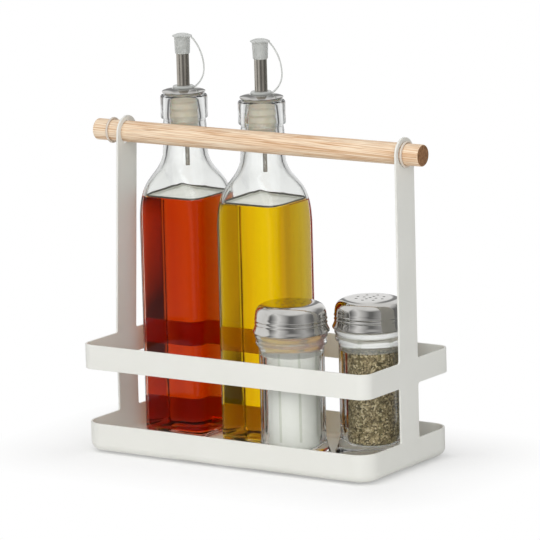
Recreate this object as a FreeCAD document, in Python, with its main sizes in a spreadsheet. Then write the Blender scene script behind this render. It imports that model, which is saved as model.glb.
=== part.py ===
import FreeCAD, Part
import math
import os
import Sketcher

# Condiment caddy: a sheet steel rack with a dowel handle, two pourer bottles and two shakers.
# +Z is up, +X runs along the handle, the origin is on the table under the middle of the rack.

doc = FreeCAD.newDocument("condiment_caddy")
sheet = doc.addObject("Spreadsheet::Sheet", "Sizes")

# ---------------------------------------------------------------------------------------------
# Driving dimensions, in millimetres and degrees. Heights named *_level are above the piece's own base.
# ---------------------------------------------------------------------------------------------
SIZES = {
    # rack
    "steel": 1.5,
    "pan_length": 236.0,
    "pan_width": 110.0,
    "pan_depth": 20.0,
    "pan_corner": 14.5,
    "pan_bend": 6.0,
    "rail_lift": 38.5,
    "rail_height": 17.3,
    "rail_corner": 9.0,
    "upright_width": 23.0,
    "upright_fillet": 2.0,
    "upright_lean_left": 2.3,
    "upright_lean_right": 0.0,
    "foot_height": 1.5,
    "foot_radius": 5.0,
    "foot_inset": 20.0,
    # handle
    "handle_level": 218.5,
    "dowel_diameter": 15.0,
    "dowel_overhang": 12.8,
    "dowel_chamfer": 0.8,
    "eye_clearance": 0.5,
    "ring_thickness": 1.7,
    "ring_play": 4.9,
    "handle_rest": 0.9,
    "slide_fit": 0.05,
    # bottles
    "bottle_end_gap": 11.5,
    "bottle_pitch": 65.4,
    "bottle_wall_gap": 0.7,
    "bottle_side": 52.0,
    "bottle_corner": 7.0,
    "bottle_heel": 4.5,
    "bottle_wall": 2.8,
    "bottle_floor": 4.5,
    "shoulder_level": 148.5,
    "shoulder_rise": 50.0,
    "neck_radius": 16.0,
    "neck_waist": 15.4,
    "neck_waist_level": 206.0,
    "neck_level": 220.0,
    "neck_groove": 14.8,
    "neck_groove_level": 223.5,
    "finish_radius": 16.55,
    "finish_height": 16.3,
    "finish_rounding": 1.8,
    "mouth_level": 241.5,
    "mouth_bore": 10.2,
    "mouth_depth": 26.0,
    "liquid_level": 170.8,
    # stoppers
    "plug_length": 28.0,
    "plug_radius": 9.2,
    "plug_tip": 1.0,
    "plug_first_rib": 2.0,
    "plug_rib_pitch": 5.0,
    "plug_flange_radius": 13.2,
    "plug_flange_height": 1.6,
    "disc_radius": 15.3,
    "disc_rim": 0.8,
    "disc_rise": 2.8,
    "disc_flat": 7.8,
    "tube_radius": 4.5,
    "tube_wall": 0.4,
    "tube_height": 35.7,
    "air_tube_radius": 1.55,
    "air_tube_wall": 0.4,
    "air_tube_offset": 2.5,
    "air_tube_drop": 51.0,
    "air_tube_recess": 2.5,
    "collar_radius": 7.6,
    "collar_height": 1.8,
    "cap_wall": 1.15,
    "cap_taper": 0.45,
    "cap_depth": 11.9,
    "cap_roof": 0.9,
    "cap_rim_radius": 6.9,
    "cap_rim_height": 0.6,
    "cap_crown": 1.7,
    "strap_width": 2.6,
    "strap_thickness": 1.0,
    "strap_reach": 14.2,
    "strap_bow": 12.6,
    "strap_turn": 33.0,
    # shakers
    "shaker_end_gap": 11.6,
    "shaker_wall_gap": 1.7,
    "shaker_stagger": 12.3,
    "shaker_pitch_across": 37.5,
    "jar_radius": 22.5,
    "jar_bore": 18.2,
    "jar_floor": 10.5,
    "jar_base_radius": 23.0,
    "jar_foot_radius": 26.3,
    "jar_foot_level": 6.5,
    "jar_body_level": 19.0,
    "jar_shoulder_level": 81.0,
    "jar_bulge_radius": 25.1,
    "jar_bulge_height": 5.5,
    "jar_neck_level": 92.2,
    "jar_neck_height": 13.5,
    "jar_neck_wall": 3.2,
    "panel_inset": 1.0,
    "panel_margin": 1.5,
    "panel_turn": 10.0,
    "fill_level": 77.0,
    "lid_gap": 0.3,
    "lid_steel": 0.5,
    "lid_rim_radius": 26.5,
    "lid_skirt_radius": 24.8,
    "lid_bead": 0.6,
    "lid_bead_level": 7.6,
    "lid_skirt_height": 11.6,
    "lid_height": 20.2,
    "lid_top_radius": 16.0,
    "hole_diameter": 1.9,
    "inner_ring_radius": 4.8,
    "outer_ring_radius": 9.8,
}
PANELS = 10
PLUG_RIBS = 5
INNER_HOLES = 4
OUTER_HOLES = 8
# The shoulder between the square body and the round neck: how far up, the share of the half side that is
# left, and the share of the corner radius's way to a full circle.
SHOULDER = (
    (0.00, 1.000, 0.00),
    (0.18, 0.992, 0.01),
    (0.36, 0.955, 0.06),
    (0.50, 0.870, 0.15),
    (0.60, 0.760, 0.26),
    (0.68, 0.620, 0.42),
    (0.75, 0.465, 0.59),
    (0.81, 0.320, 0.74),
    (0.87, 0.195, 0.85),
    (0.93, 0.090, 0.94),
    (1.00, 0.000, 0.98),
)
# The lid's dome: shares of the way in from the skirt to the flat top, and up from the skirt to the top.
DOME = ((0.06, 0.40), (0.25, 0.75), (0.60, 0.94), (1.00, 1.00))

class Size:
    """A length or an angle: its value now, and the spreadsheet expression that drives it."""

    def __init__(self, text, value):
        self.text = text
        self.value = value

    def _join(self, sign, other, value):
        other = as_size(other)
        return Size("(" + self.text + " " + sign + " " + other.text + ")", value)

    def __add__(self, other):
        return self._join("+", other, self.value + as_size(other).value)

    def __sub__(self, other):
        return self._join("-", other, self.value - as_size(other).value)

    def __mul__(self, other):
        return self._join("*", other, self.value * as_size(other).value)

    def __truediv__(self, other):
        return self._join("/", other, self.value / as_size(other).value)

    def __neg__(self):
        return Size("(-1 * " + self.text + ")", -self.value)


def as_size(number):
    """Wrap a plain number, so that it can stand in an expression."""
    if isinstance(number, Size):
        return number
    return Size(repr(float(number)), float(number))


def larger(first, second):
    """The larger of two sizes."""
    return Size("max(" + first.text + "; " + second.text + ")", max(first.value, second.value))


class Sizes:
    """The spreadsheet's sizes as attributes."""

    def __init__(self, table):
        for row, (name, value) in enumerate(table.items(), start=1):
            sheet.set("A" + str(row), name)
            sheet.set("B" + str(row), str(value))
            sheet.setAlias("B" + str(row), name)
            setattr(self, name, Size("Sizes." + name, value))


d = Sizes(SIZES)
doc.recompute()
ZERO = as_size(0)


# ---------------------------------------------------------------------------------------------
# Helpers
# ---------------------------------------------------------------------------------------------
def bind(thing, prop, size):
    """Set a property now and bind it to the sheet."""
    size = as_size(size)
    if "." not in prop:
        setattr(thing, prop, size.value)
    thing.setExpression(prop, size.text)


def place(thing, x=ZERO, y=ZERO, z=ZERO, turn=None, about=(0, 0, 1)):
    """Bind an object's Placement; turn is its angle about the axis given."""
    angle = as_size(turn if turn is not None else 0)
    x, y, z = as_size(x), as_size(y), as_size(z)
    thing.Placement = FreeCAD.Placement(
        FreeCAD.Vector(x.value, y.value, z.value),
        FreeCAD.Rotation(FreeCAD.Vector(*about), angle.value),
    )
    for axis, size in zip("xyz", (x, y, z)):
        thing.setExpression("Placement.Base." + axis, size.text)
    if turn is not None:
        thing.setExpression("Placement.Rotation.Angle", angle.text)
    return thing


def add(kind, name, **sizes):
    """Add an object of the document and bind the sizes given."""
    thing = doc.addObject(kind, name)
    for prop, size in sizes.items():
        bind(thing, prop, size)
    return thing


def lay_along(thing, x, level):
    """Turn a piece's own Z to +X and put it at a height on the middle plane."""
    return place(thing, x=x, z=level, turn=90, about=(0, 1, 0))


def cylinder(name, radius, height, x=ZERO, y=ZERO, z=ZERO):
    """An upright cylinder."""
    return place(add("Part::Cylinder", name, Radius=radius, Height=height), x, y, z)


def cut(name, base, tool):
    """base without tool."""
    thing = doc.addObject("Part::Cut", name)
    thing.Base = base
    thing.Tool = tool
    return thing


def common(name, base, tool):
    """What base and tool share."""
    thing = doc.addObject("Part::Common", name)
    thing.Base = base
    thing.Tool = tool
    return thing


def fuse(name, pieces):
    """The pieces in one solid."""
    thing = doc.addObject("Part::MultiFuse", name)
    thing.Shapes = pieces
    thing.Refine = True
    return thing


def vector(point):
    """The value of a pair of sizes, as a point in a sketch."""
    return FreeCAD.Vector(as_size(point[0]).value, as_size(point[1]).value, 0)


def pin_point(sketch, geometry, end, point):
    """Hold one end of a sketch element at two sizes."""
    for kind, size in (("DistanceX", point[0]), ("DistanceY", point[1])):
        size = as_size(size)
        index = sketch.addConstraint(
            Sketcher.Constraint(kind, -1, 1, geometry, end, size.value)
        )
        if size.text != repr(size.value):
            sketch.setExpression("Constraints[" + str(index) + "]", size.text)


def arc_between(start, end, radius, bulge):
    """An arc from start to end; bulge +1 has its middle on the left of the way, -1 on the right."""
    chord = end - start
    half = chord.Length / 2
    left = FreeCAD.Vector(-chord.y, chord.x, 0).normalize()
    depth = math.sqrt(max(radius * radius - half * half, 0.0))
    centre = start + chord / 2 - left * bulge * depth
    middle = centre + left * bulge * radius
    return Part.Arc(start, middle, end)


def outline(sketch, corners):
    """Close a loop of lines and arcs.

    Each corner is (x, y), or (x, y, radius, bulge) where the edge that leaves it is an arc.
    """
    count = len(corners)
    edges = []
    for index, corner in enumerate(corners):
        start = vector(corner)
        end = vector(corners[(index + 1) % count])
        if len(corner) == 2:
            edges.append(sketch.addGeometry(Part.LineSegment(start, end)))
        else:
            arc = arc_between(start, end, as_size(corner[2]).value, corner[3])
            edges.append(sketch.addGeometry(arc))
    ends = []
    for index, corner in enumerate(corners):
        start = vector(corner)
        first = sketch.getPoint(edges[index], 1)
        ends.append((1, 2) if (first - start).Length < 1e-6 else (2, 1))
    for index, corner in enumerate(corners):
        following = (index + 1) % count
        sketch.addConstraint(
            Sketcher.Constraint(
                "Coincident", edges[index], ends[index][1], edges[following], ends[following][0]
            )
        )
    for index, corner in enumerate(corners):
        pin_point(sketch, edges[index], ends[index][0], corner)
        if len(corner) == 4:
            radius = as_size(corner[2])
            number = sketch.addConstraint(
                Sketcher.Constraint("Radius", edges[index], radius.value)
            )
            sketch.setExpression("Constraints[" + str(number) + "]", radius.text)
    return sketch


def ring_of_corners(half_x, half_y, radius):
    """The corners of a rectangle with rounded corners, for outline()."""
    points = []
    for sign_x, sign_y in ((1, -1), (1, 1), (-1, 1), (-1, -1)):
        along = (half_x * sign_x, (half_y - radius) * sign_y)
        across = ((half_x - radius) * sign_x, half_y * sign_y)
        first, second = (across, along) if sign_x * sign_y < 0 else (along, across)
        points.append((first[0], first[1], radius, -1))
        points.append(second)
    return points


UPRIGHT_PLANE = FreeCAD.Rotation(FreeCAD.Vector(1, 0, 0), 90)  # sketch X, Y lie on X, Z
SIDE_PLANE = FreeCAD.Rotation(FreeCAD.Vector(1, 1, 1), 120)  # sketch X, Y lie on Y, Z


def free_sketch(name, corners, rotation=None, height=None):
    """A sketch of one outline that isn't in a Body."""
    sketch = doc.addObject("Sketcher::SketchObject", name)
    outline(sketch, corners)
    if rotation is not None:
        sketch.Placement = FreeCAD.Placement(FreeCAD.Vector(), rotation)
    if height is not None:
        place(sketch, z=height)
    return sketch


def revolved(name, corners):
    """A solid of revolution about Z; the corners are (radius, height)."""
    sketch = free_sketch(name + "_profile", corners, UPRIGHT_PLANE)
    thing = doc.addObject("Part::Revolution", name)
    thing.Source = sketch
    thing.Axis = (0, 0, 1)
    thing.Base = (0, 0, 0)
    thing.Angle = 360
    thing.Solid = True
    return thing


def extruded(name, sketch, direction, length, symmetric=False):
    """A sketch pushed out along a direction."""
    thing = doc.addObject("Part::Extrusion", name)
    thing.Base = sketch
    thing.DirMode = "Custom"
    thing.Dir = FreeCAD.Vector(*direction)
    bind(thing, "LengthFwd", length)
    thing.Solid = True
    thing.Symmetric = symmetric
    return thing


def level_edges(shape, level):
    """Names of the edges that lie flat at a height."""
    names = []
    for number, edge in enumerate(shape.Edges, start=1):
        box = edge.BoundBox
        if abs(box.ZMin - level) < 0.01 and abs(box.ZMax - level) < 0.01:
            names.append("Edge" + str(number))
    return names


def body_sketch(body, role, name, corners):
    """A sketch on one of a Body's own origin planes."""
    sketch = body.newObject("Sketcher::SketchObject", name)
    plane = next(item for item in body.Origin.OriginFeatures if item.Role == role)
    sketch.AttachmentSupport = [(plane, "")]
    sketch.MapMode = "FlatFace"
    if corners:
        outline(sketch, corners)
    return sketch


def body_fillet(body, name, base, names, radius):
    """Round edges of a Body's last feature."""
    fillet = body.newObject("PartDesign::Fillet", name)
    fillet.Base = (base, names)
    bind(fillet, "Radius", radius)
    return fillet


def label(thing, name):
    """Name a finished sub-part; the name is its file's name."""
    thing.Label = name
    PARTS.append(thing)
    return thing


PARTS = []


# ---------------------------------------------------------------------------------------------
# Rack
# ---------------------------------------------------------------------------------------------
half_length = d.pan_length / 2
half_width = d.pan_width / 2
inside_width = half_width - d.steel
pan_floor = d.foot_height + d.steel  # where the bottles and shakers stand
pan_top = d.foot_height + d.pan_depth
rail_base = pan_top + d.rail_lift
rail_top = rail_base + d.rail_height
handle_axis = d.foot_height + d.handle_level


def build_pan():
    """The pan: a rounded block hollowed to the sheet's thickness, both sides of its lower edge bent."""
    body = doc.addObject("PartDesign::Body", "pan")
    plan = body_sketch(
        body, "XY_Plane", "pan_plan", ring_of_corners(half_length, half_width, d.pan_corner)
    )
    block = body.newObject("PartDesign::Pad", "pan_block")
    block.Profile = plan
    bind(block, "Length", d.pan_depth)
    inside = body_sketch(
        body,
        "XY_Plane",
        "pan_inside",
        ring_of_corners(half_length - d.steel, half_width - d.steel, d.pan_corner - d.steel),
    )
    inside.setExpression("AttachmentOffset.Base.z", d.steel.text)
    hollow = body.newObject("PartDesign::Pocket", "pan_hollow")
    hollow.Profile = inside
    hollow.Reversed = True
    bind(hollow, "Length", d.pan_depth)
    feature = hollow
    for name, level, radius in (
        ("pan_bend_inside", d.steel, d.pan_bend - d.steel),
        ("pan_bend_outside", ZERO, d.pan_bend),
    ):
        doc.recompute()
        ring = level_edges(feature.Shape, level.value)
        feature = body_fillet(body, name, feature, ring, radius)
    place(body, z=d.foot_height)
    label(body, "tray_pan")


def build_side_frame(side, x, turn, lean):
    """One end of the rack: a flat cross, its arms bent round the corners, and a strip up to the eye.

    It is drawn with its outer face on X = 0 and the rack towards +X, then turned and placed. The strip
    leans inwards from just above the rail.
    """
    half = d.upright_width / 2
    radius = d.upright_fillet
    flare = half + radius
    arm = half_width - d.rail_corner
    bend_level = rail_top + radius
    right_side = [
        (flare, pan_top, radius, 1),
        (half, pan_top + radius),
        (half, rail_base - radius, radius, 1),
        (flare, rail_base),
        (arm, rail_base),
        (arm, rail_top),
        (flare, rail_top, radius, 1),
        (half, bend_level),
    ]
    left_side = [
        (-half, bend_level, radius, 1),
        (-flare, rail_top),
        (-arm, rail_top),
        (-arm, rail_base),
        (-flare, rail_base, radius, 1),
        (-half, rail_base - radius),
        (-half, pan_top + radius, radius, 1),
        (-flare, pan_top),
    ]
    sketch = free_sketch("cross_" + side, right_side + left_side, SIDE_PLANE)
    pieces = [extruded("blank_" + side, sketch, (1, 0, 0), d.steel)]

    eye_level = handle_axis - bend_level
    strip_corners = [
        (-half, ZERO),
        (half, ZERO),
        (half, eye_level, half, -1),
        (ZERO, eye_level + half, half, -1),
        (-half, eye_level),
    ]
    sketch = free_sketch("strip_outline_" + side, strip_corners, SIDE_PLANE)
    strip = extruded("upright_" + side, sketch, (1, 0, 0), d.steel)
    bore = add(
        "Part::Cylinder",
        "eye_bore_" + side,
        Radius=d.dowel_diameter / 2 + d.eye_clearance,
        Height=d.steel * 3,
    )
    lay_along(bore, -d.steel, eye_level)
    pierced = cut("pierced_" + side, strip, bore)
    pieces.append(place(pierced, z=bend_level, turn=lean, about=(0, 1, 0)))

    inner = d.rail_corner - d.steel
    for way, sign in (("back", 1), ("front", -1)):
        bend_corners = [
            (ZERO, arm * sign, d.rail_corner, sign),
            (d.rail_corner, half_width * sign),
            (d.rail_corner, (half_width - d.steel) * sign, inner, -sign),
            (d.steel, arm * sign),
        ]
        bend = free_sketch("bend_" + way + "_" + side, bend_corners, height=rail_base)
        pieces.append(
            extruded("corner_" + way + "_" + side, bend, (0, 0, 1), d.rail_height)
        )
    frame = fuse("frame_" + side, pieces)
    place(frame, x=x, turn=turn)
    label(frame, "side_frame_" + side)


def build_rails():
    """Straight strips between the side frames' bent arms."""
    for way, y in (("front", -half_width), ("back", half_width - d.steel)):
        strip = add(
            "Part::Box",
            "strip_" + way,
            Length=d.pan_length - d.rail_corner * 2,
            Width=d.steel,
            Height=d.rail_height,
        )
        place(strip, x=d.rail_corner - half_length, y=y, z=rail_base)
        label(strip, "rail_" + way)


def build_feet():
    """Thin round pads under the pan's flat floor."""
    for across, sign_y in (("front", -1), ("back", 1)):
        for along, sign_x in (("left", -1), ("right", 1)):
            pad = cylinder(
                "pad_" + across + "_" + along,
                d.foot_radius,
                d.foot_height,
                (half_length - d.foot_inset) * sign_x,
                (half_width - d.foot_inset) * sign_y,
            )
            label(pad, "foot_pad_" + across + "_" + along)


# ---------------------------------------------------------------------------------------------
# Handle: a ring outside each upright leaves it a little play; at rest the play is mostly on the left
# ---------------------------------------------------------------------------------------------
ring_right = half_length + d.handle_rest + d.ring_thickness / 2
ring_span = d.pan_length + d.ring_thickness + d.ring_play


def build_handle():
    """The dowel through both eyes, and a ring outside each."""
    rod = add(
        "Part::Cylinder",
        "rod",
        Radius=d.dowel_diameter / 2,
        Height=ring_span + d.dowel_overhang * 2,
    )
    doc.recompute()
    dowel = doc.addObject("Part::Chamfer", "dowel")
    dowel.Base = rod
    chamfer = d.dowel_chamfer.value
    rims = [n for n, e in enumerate(rod.Shape.Edges, start=1) if e.Closed]
    dowel.Edges = [(number, chamfer, chamfer) for number in rims]
    start = ring_right - ring_span - d.dowel_overhang
    lay_along(dowel, start, handle_axis)
    label(dowel, "handle_dowel")
    bore = d.dowel_diameter / 2 + d.slide_fit
    tube = d.ring_thickness
    section = [
        (bore, tube * -0.25),
        (bore + tube * 0.25, tube * -0.5),
        (bore + tube * 0.75, tube * -0.5),
        (bore + tube, tube * -0.25),
        (bore + tube, tube * 0.25),
        (bore + tube * 0.75, tube * 0.5),
        (bore + tube * 0.25, tube * 0.5),
        (bore, tube * 0.25),
    ]
    for side, x in (("left", ring_right - ring_span), ("right", ring_right)):
        ring = revolved("ring_" + side, section)
        lay_along(ring, x, handle_axis)
        label(ring, "handle_ring_" + side)


# ---------------------------------------------------------------------------------------------
# Bottles and their pouring stoppers
# ---------------------------------------------------------------------------------------------
bottle_x = d.bottle_end_gap + d.bottle_side / 2 - half_length
bottle_y = inside_width - d.bottle_wall_gap - d.bottle_side / 2
neck_base = d.shoulder_level + d.shoulder_rise


def square_loft(name, inset):
    """The shoulder: a loft from the square body to the round neck, inset by the wall for the inside."""
    body_half = d.bottle_side / 2 - inset
    body_corner = d.bottle_corner - inset
    neck = d.neck_radius - inset
    sections = []
    for number, (rise, side_share, round_share) in enumerate(SHOULDER):
        half = neck + (body_half - neck) * side_share
        corner = body_corner + (half - body_corner) * round_share
        sections.append(
            free_sketch(
                name + "_section_" + str(number),
                ring_of_corners(half, half, corner),
                height=d.shoulder_level + d.shoulder_rise * rise,
            )
        )
    loft = doc.addObject("Part::Loft", name)
    loft.Sections = sections
    loft.Solid = True
    loft.Ruled = True
    return loft


def build_bottle(kind, x):
    """One square bottle with its liquid."""
    half = d.bottle_side / 2
    plan = free_sketch(kind + "_plan", ring_of_corners(half, half, d.bottle_corner))
    block = extruded(kind + "_block", plan, (0, 0, 1), d.shoulder_level)
    doc.recompute()
    heel = doc.addObject("Part::Fillet", kind + "_heel")
    heel.Base = block
    radius = d.bottle_heel.value
    heel.Edges = [
        (number, radius, radius)
        for number, edge in enumerate(block.Shape.Edges, start=1)
        if edge.BoundBox.ZMax < 0.001
    ]
    outside = square_loft(kind + "_shoulder", ZERO)
    finish_base = d.mouth_level - d.finish_height
    neck = revolved(
        kind + "_neck",
        [
            (ZERO, neck_base - 0.5),
            (d.neck_radius, neck_base - 0.5),
            (d.neck_waist, d.neck_waist_level),
            (d.neck_waist, d.neck_level),
            (d.neck_groove, d.neck_groove_level),
            (d.finish_radius, finish_base),
            (d.finish_radius, d.mouth_level - d.finish_rounding),
            (d.finish_radius - d.finish_rounding * 0.3, d.mouth_level - d.finish_rounding * 0.3),
            (d.finish_radius - d.finish_rounding, d.mouth_level),
            (ZERO, d.mouth_level),
        ],
    )
    inside_half = half - d.bottle_wall
    inside_plan = free_sketch(
        kind + "_inside_plan",
        ring_of_corners(inside_half, inside_half, d.bottle_corner - d.bottle_wall),
        height=d.bottle_floor,
    )
    well = extruded(
        kind + "_well", inside_plan, (0, 0, 1), d.shoulder_level - d.bottle_floor
    )
    inside_shoulder = square_loft(kind + "_inside_shoulder", d.bottle_wall)
    throat = revolved(
        kind + "_throat",
        [
            (ZERO, neck_base - 0.5),
            (d.neck_radius - d.bottle_wall, neck_base - 0.5),
            (d.mouth_bore, d.mouth_level - d.mouth_depth),
            (d.mouth_bore, d.mouth_level + 1),
            (ZERO, d.mouth_level + 1),
        ],
    )
    cavity = fuse(kind + "_cavity", [well, inside_shoulder, throat])
    solid = fuse(kind + "_solid", [heel, outside, neck])
    glass = cut(kind + "_glass", solid, cavity)
    place(glass, x=x, y=bottle_y, z=pan_floor)
    label(glass, kind + "_bottle_glass")
    measure = cylinder(kind + "_measure", d.bottle_side, d.liquid_level)
    liquid = common(kind + "_contents", cavity, measure)
    place(liquid, x=x, y=bottle_y, z=pan_floor)
    label(liquid, kind + "_liquid")


def build_stopper(kind, x):
    """Plug, disc, pour tube, air tube, collar, strap and cap of one bottle."""
    top = d.mouth_level
    flange_top = top + d.plug_flange_height
    disc_top = flange_top + d.disc_rise
    tube_bottom = top - d.plug_length
    tube_top = disc_top + d.tube_height

    rib = d.mouth_bore - d.slide_fit
    plug_corners = [
        (d.tube_radius, tube_bottom),
        (d.plug_radius - d.plug_tip, tube_bottom),
        (d.plug_radius, tube_bottom + d.plug_tip),
    ]
    for number in range(PLUG_RIBS):
        foot = tube_bottom + d.plug_first_rib + d.plug_rib_pitch * number
        plug_corners.append((rib, foot + d.plug_rib_pitch * 0.35))
        plug_corners.append((d.plug_radius, foot + d.plug_rib_pitch))
    plug_corners += [
        (d.plug_radius, top),
        (d.plug_flange_radius, top),
        (d.plug_flange_radius, flange_top),
        (d.tube_radius, flange_top),
    ]
    disc_corners = [
        (d.tube_radius, flange_top),
        (d.disc_radius, flange_top),
        (d.disc_radius, flange_top + d.disc_rim),
        ((d.disc_radius + d.disc_flat) / 2, disc_top - d.disc_rise * 0.2),
        (d.disc_flat, disc_top),
        (d.tube_radius, disc_top),
    ]
    tube_inside = d.tube_radius - d.tube_wall
    tube_corners = [
        (tube_inside, tube_bottom),
        (d.tube_radius, tube_bottom),
        (d.tube_radius, tube_top),
        (tube_inside, tube_top),
    ]
    collar_corners = [
        (d.tube_radius, disc_top),
        (d.collar_radius, disc_top),
        (d.collar_radius, disc_top + d.collar_height * 0.6),
        (d.collar_radius - d.collar_height * 0.4, disc_top + d.collar_height),
        (d.tube_radius, disc_top + d.collar_height),
    ]
    cap_bore = d.tube_radius + d.slide_fit
    cap_foot = tube_top + d.cap_roof / 2 - d.cap_depth
    cap_roof = tube_top + d.cap_roof / 2
    rim_top = cap_roof + d.cap_roof
    cap_side = cap_bore + d.cap_wall
    rim = d.cap_rim_radius
    cap_corners = [
        (cap_bore, cap_foot),
        (cap_side - d.cap_taper - 0.3, cap_foot),
        (cap_side - d.cap_taper, cap_foot + 0.8),
        (cap_side, rim_top - d.cap_rim_height - 0.4),
        (rim, rim_top - d.cap_rim_height),
        (rim, rim_top),
        (rim * 0.5, rim_top + d.cap_crown * 0.8),
        (ZERO, rim_top + d.cap_crown),
        (ZERO, cap_roof),
        (cap_bore, cap_roof),
    ]
    for name, piece, corners in (
        (kind + "_plug", "_stopper_plug", plug_corners),
        (kind + "_disc", "_stopper_disc", disc_corners),
        (kind + "_tube", "_pour_tube", tube_corners),
        (kind + "_collar", "_cap_collar", collar_corners),
        (kind + "_hood", "_cap", cap_corners),
    ):
        thing = revolved(name, corners)
        place(thing, x=x, y=bottle_y, z=pan_floor)
        label(thing, kind + piece)

    air_bottom = top - d.air_tube_drop
    air_inside = d.air_tube_radius - d.air_tube_wall
    air = revolved(
        kind + "_air",
        [
            (air_inside, air_bottom),
            (d.air_tube_radius, air_bottom),
            (d.air_tube_radius, tube_top - d.air_tube_recess),
            (air_inside, tube_top - d.air_tube_recess),
        ],
    )
    place(air, x=x, y=bottle_y + d.air_tube_offset, z=pan_floor)
    label(air, kind + "_air_tube")
    build_strap(kind, x, disc_top + d.collar_height / 2, rim_top - d.cap_rim_height - 0.5)


def build_strap(kind, x, low, high):
    """The strap from the collar out and up to the cap's rim: two arcs that meet at its widest point."""
    belly = low + d.strap_bow
    foot = d.collar_radius + 0.05
    head = d.cap_rim_radius - d.strap_thickness - 0.05
    lower_in = d.strap_reach - foot
    upper_in = d.strap_reach - head
    lower = (lower_in * lower_in + d.strap_bow * d.strap_bow) / (lower_in * 2)
    rise = high - belly
    upper = (upper_in * upper_in + rise * rise) / (upper_in * 2)
    corners = [
        (foot, low, lower, -1),
        (d.strap_reach, belly, upper, -1),
        (head, high),
        (head + d.strap_thickness, high, upper, 1),
        (d.strap_reach + d.strap_thickness, belly, lower, 1),
        (foot + d.strap_thickness, low),
    ]
    profile = free_sketch(kind + "_strap_profile", corners, UPRIGHT_PLANE)
    strap = extruded(kind + "_strap", profile, (0, 1, 0), d.strap_width, symmetric=True)
    place(strap, x=x, y=bottle_y, z=pan_floor, turn=d.strap_turn)
    label(strap, kind + "_cap_strap")


# ---------------------------------------------------------------------------------------------
# Shakers
# ---------------------------------------------------------------------------------------------
shaker_reach = larger(d.jar_foot_radius, d.lid_rim_radius)
pepper_x = half_length - d.shaker_end_gap - shaker_reach
salt_x = pepper_x - (shaker_reach * 2 - d.shaker_stagger)
salt_y = d.shaker_wall_gap + shaker_reach - inside_width
pepper_y = salt_y + d.shaker_pitch_across


def build_jar(kind, x, y):
    """A glass jar: a thick foot, panelled sides, a round bulge under the neck."""
    bore = d.jar_bore
    neck = d.lid_skirt_radius - d.lid_steel - d.lid_gap
    neck_top = d.jar_neck_level + d.jar_neck_height
    neck_bore = neck - d.jar_neck_wall
    bulge_base = d.jar_neck_level - d.jar_bulge_height
    body = doc.addObject("PartDesign::Body", kind + "_jar_body")
    profile = body_sketch(
        body,
        "XZ_Plane",
        kind + "_jar_profile",
        [
            (ZERO, ZERO),
            (d.jar_base_radius, ZERO),
            (d.jar_foot_radius, d.jar_foot_level / 2),
            (d.jar_foot_radius, d.jar_foot_level),
            (d.jar_radius, d.jar_body_level),
            (d.jar_radius, d.jar_shoulder_level),
            (d.jar_bulge_radius, bulge_base),
            (d.jar_bulge_radius, d.jar_neck_level - 0.6),
            (d.jar_bulge_radius - 0.6, d.jar_neck_level),
            (neck, d.jar_neck_level),
            (neck, neck_top),
            (neck_bore, neck_top),
            (neck_bore, bulge_base),
            (bore, d.jar_shoulder_level),
            (bore, d.jar_floor),
            (ZERO, d.jar_floor),
        ],
    )
    glass = body.newObject("PartDesign::Revolution", kind + "_jar_glass")
    glass.Profile = profile
    glass.ReferenceAxis = (profile, ["V_Axis"])
    glass.Angle = 360
    doc.recompute()

    flat = d.jar_radius - d.panel_inset
    far = d.jar_foot_radius + 2
    reach = d.jar_radius / 2
    shaving = body_sketch(
        body,
        "XY_Plane",
        kind + "_panel_profile",
        [(flat, -reach), (far, -reach), (far, reach), (flat, reach)],
    )
    low = d.jar_body_level + d.panel_margin
    shaving.setExpression("AttachmentOffset.Base.z", low.text)
    panel = body.newObject("PartDesign::Pocket", kind + "_panel")
    panel.Profile = shaving
    panel.Reversed = True
    bind(panel, "Length", d.jar_shoulder_level - d.panel_margin - low)
    panels = body.newObject("PartDesign::PolarPattern", kind + "_panels")
    panels.Originals = [panel]
    panels.Axis = (shaving, ["N_Axis"])
    panels.Angle = 360
    panels.Occurrences = PANELS
    body.Tip = panels
    place(body, x=x, y=y, z=pan_floor, turn=d.panel_turn)
    label(body, kind + "_jar")

    fill = cylinder(
        kind + "_grains", bore, d.fill_level - d.jar_floor, x, y, pan_floor + d.jar_floor
    )
    label(fill, kind + "_fill")


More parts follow.
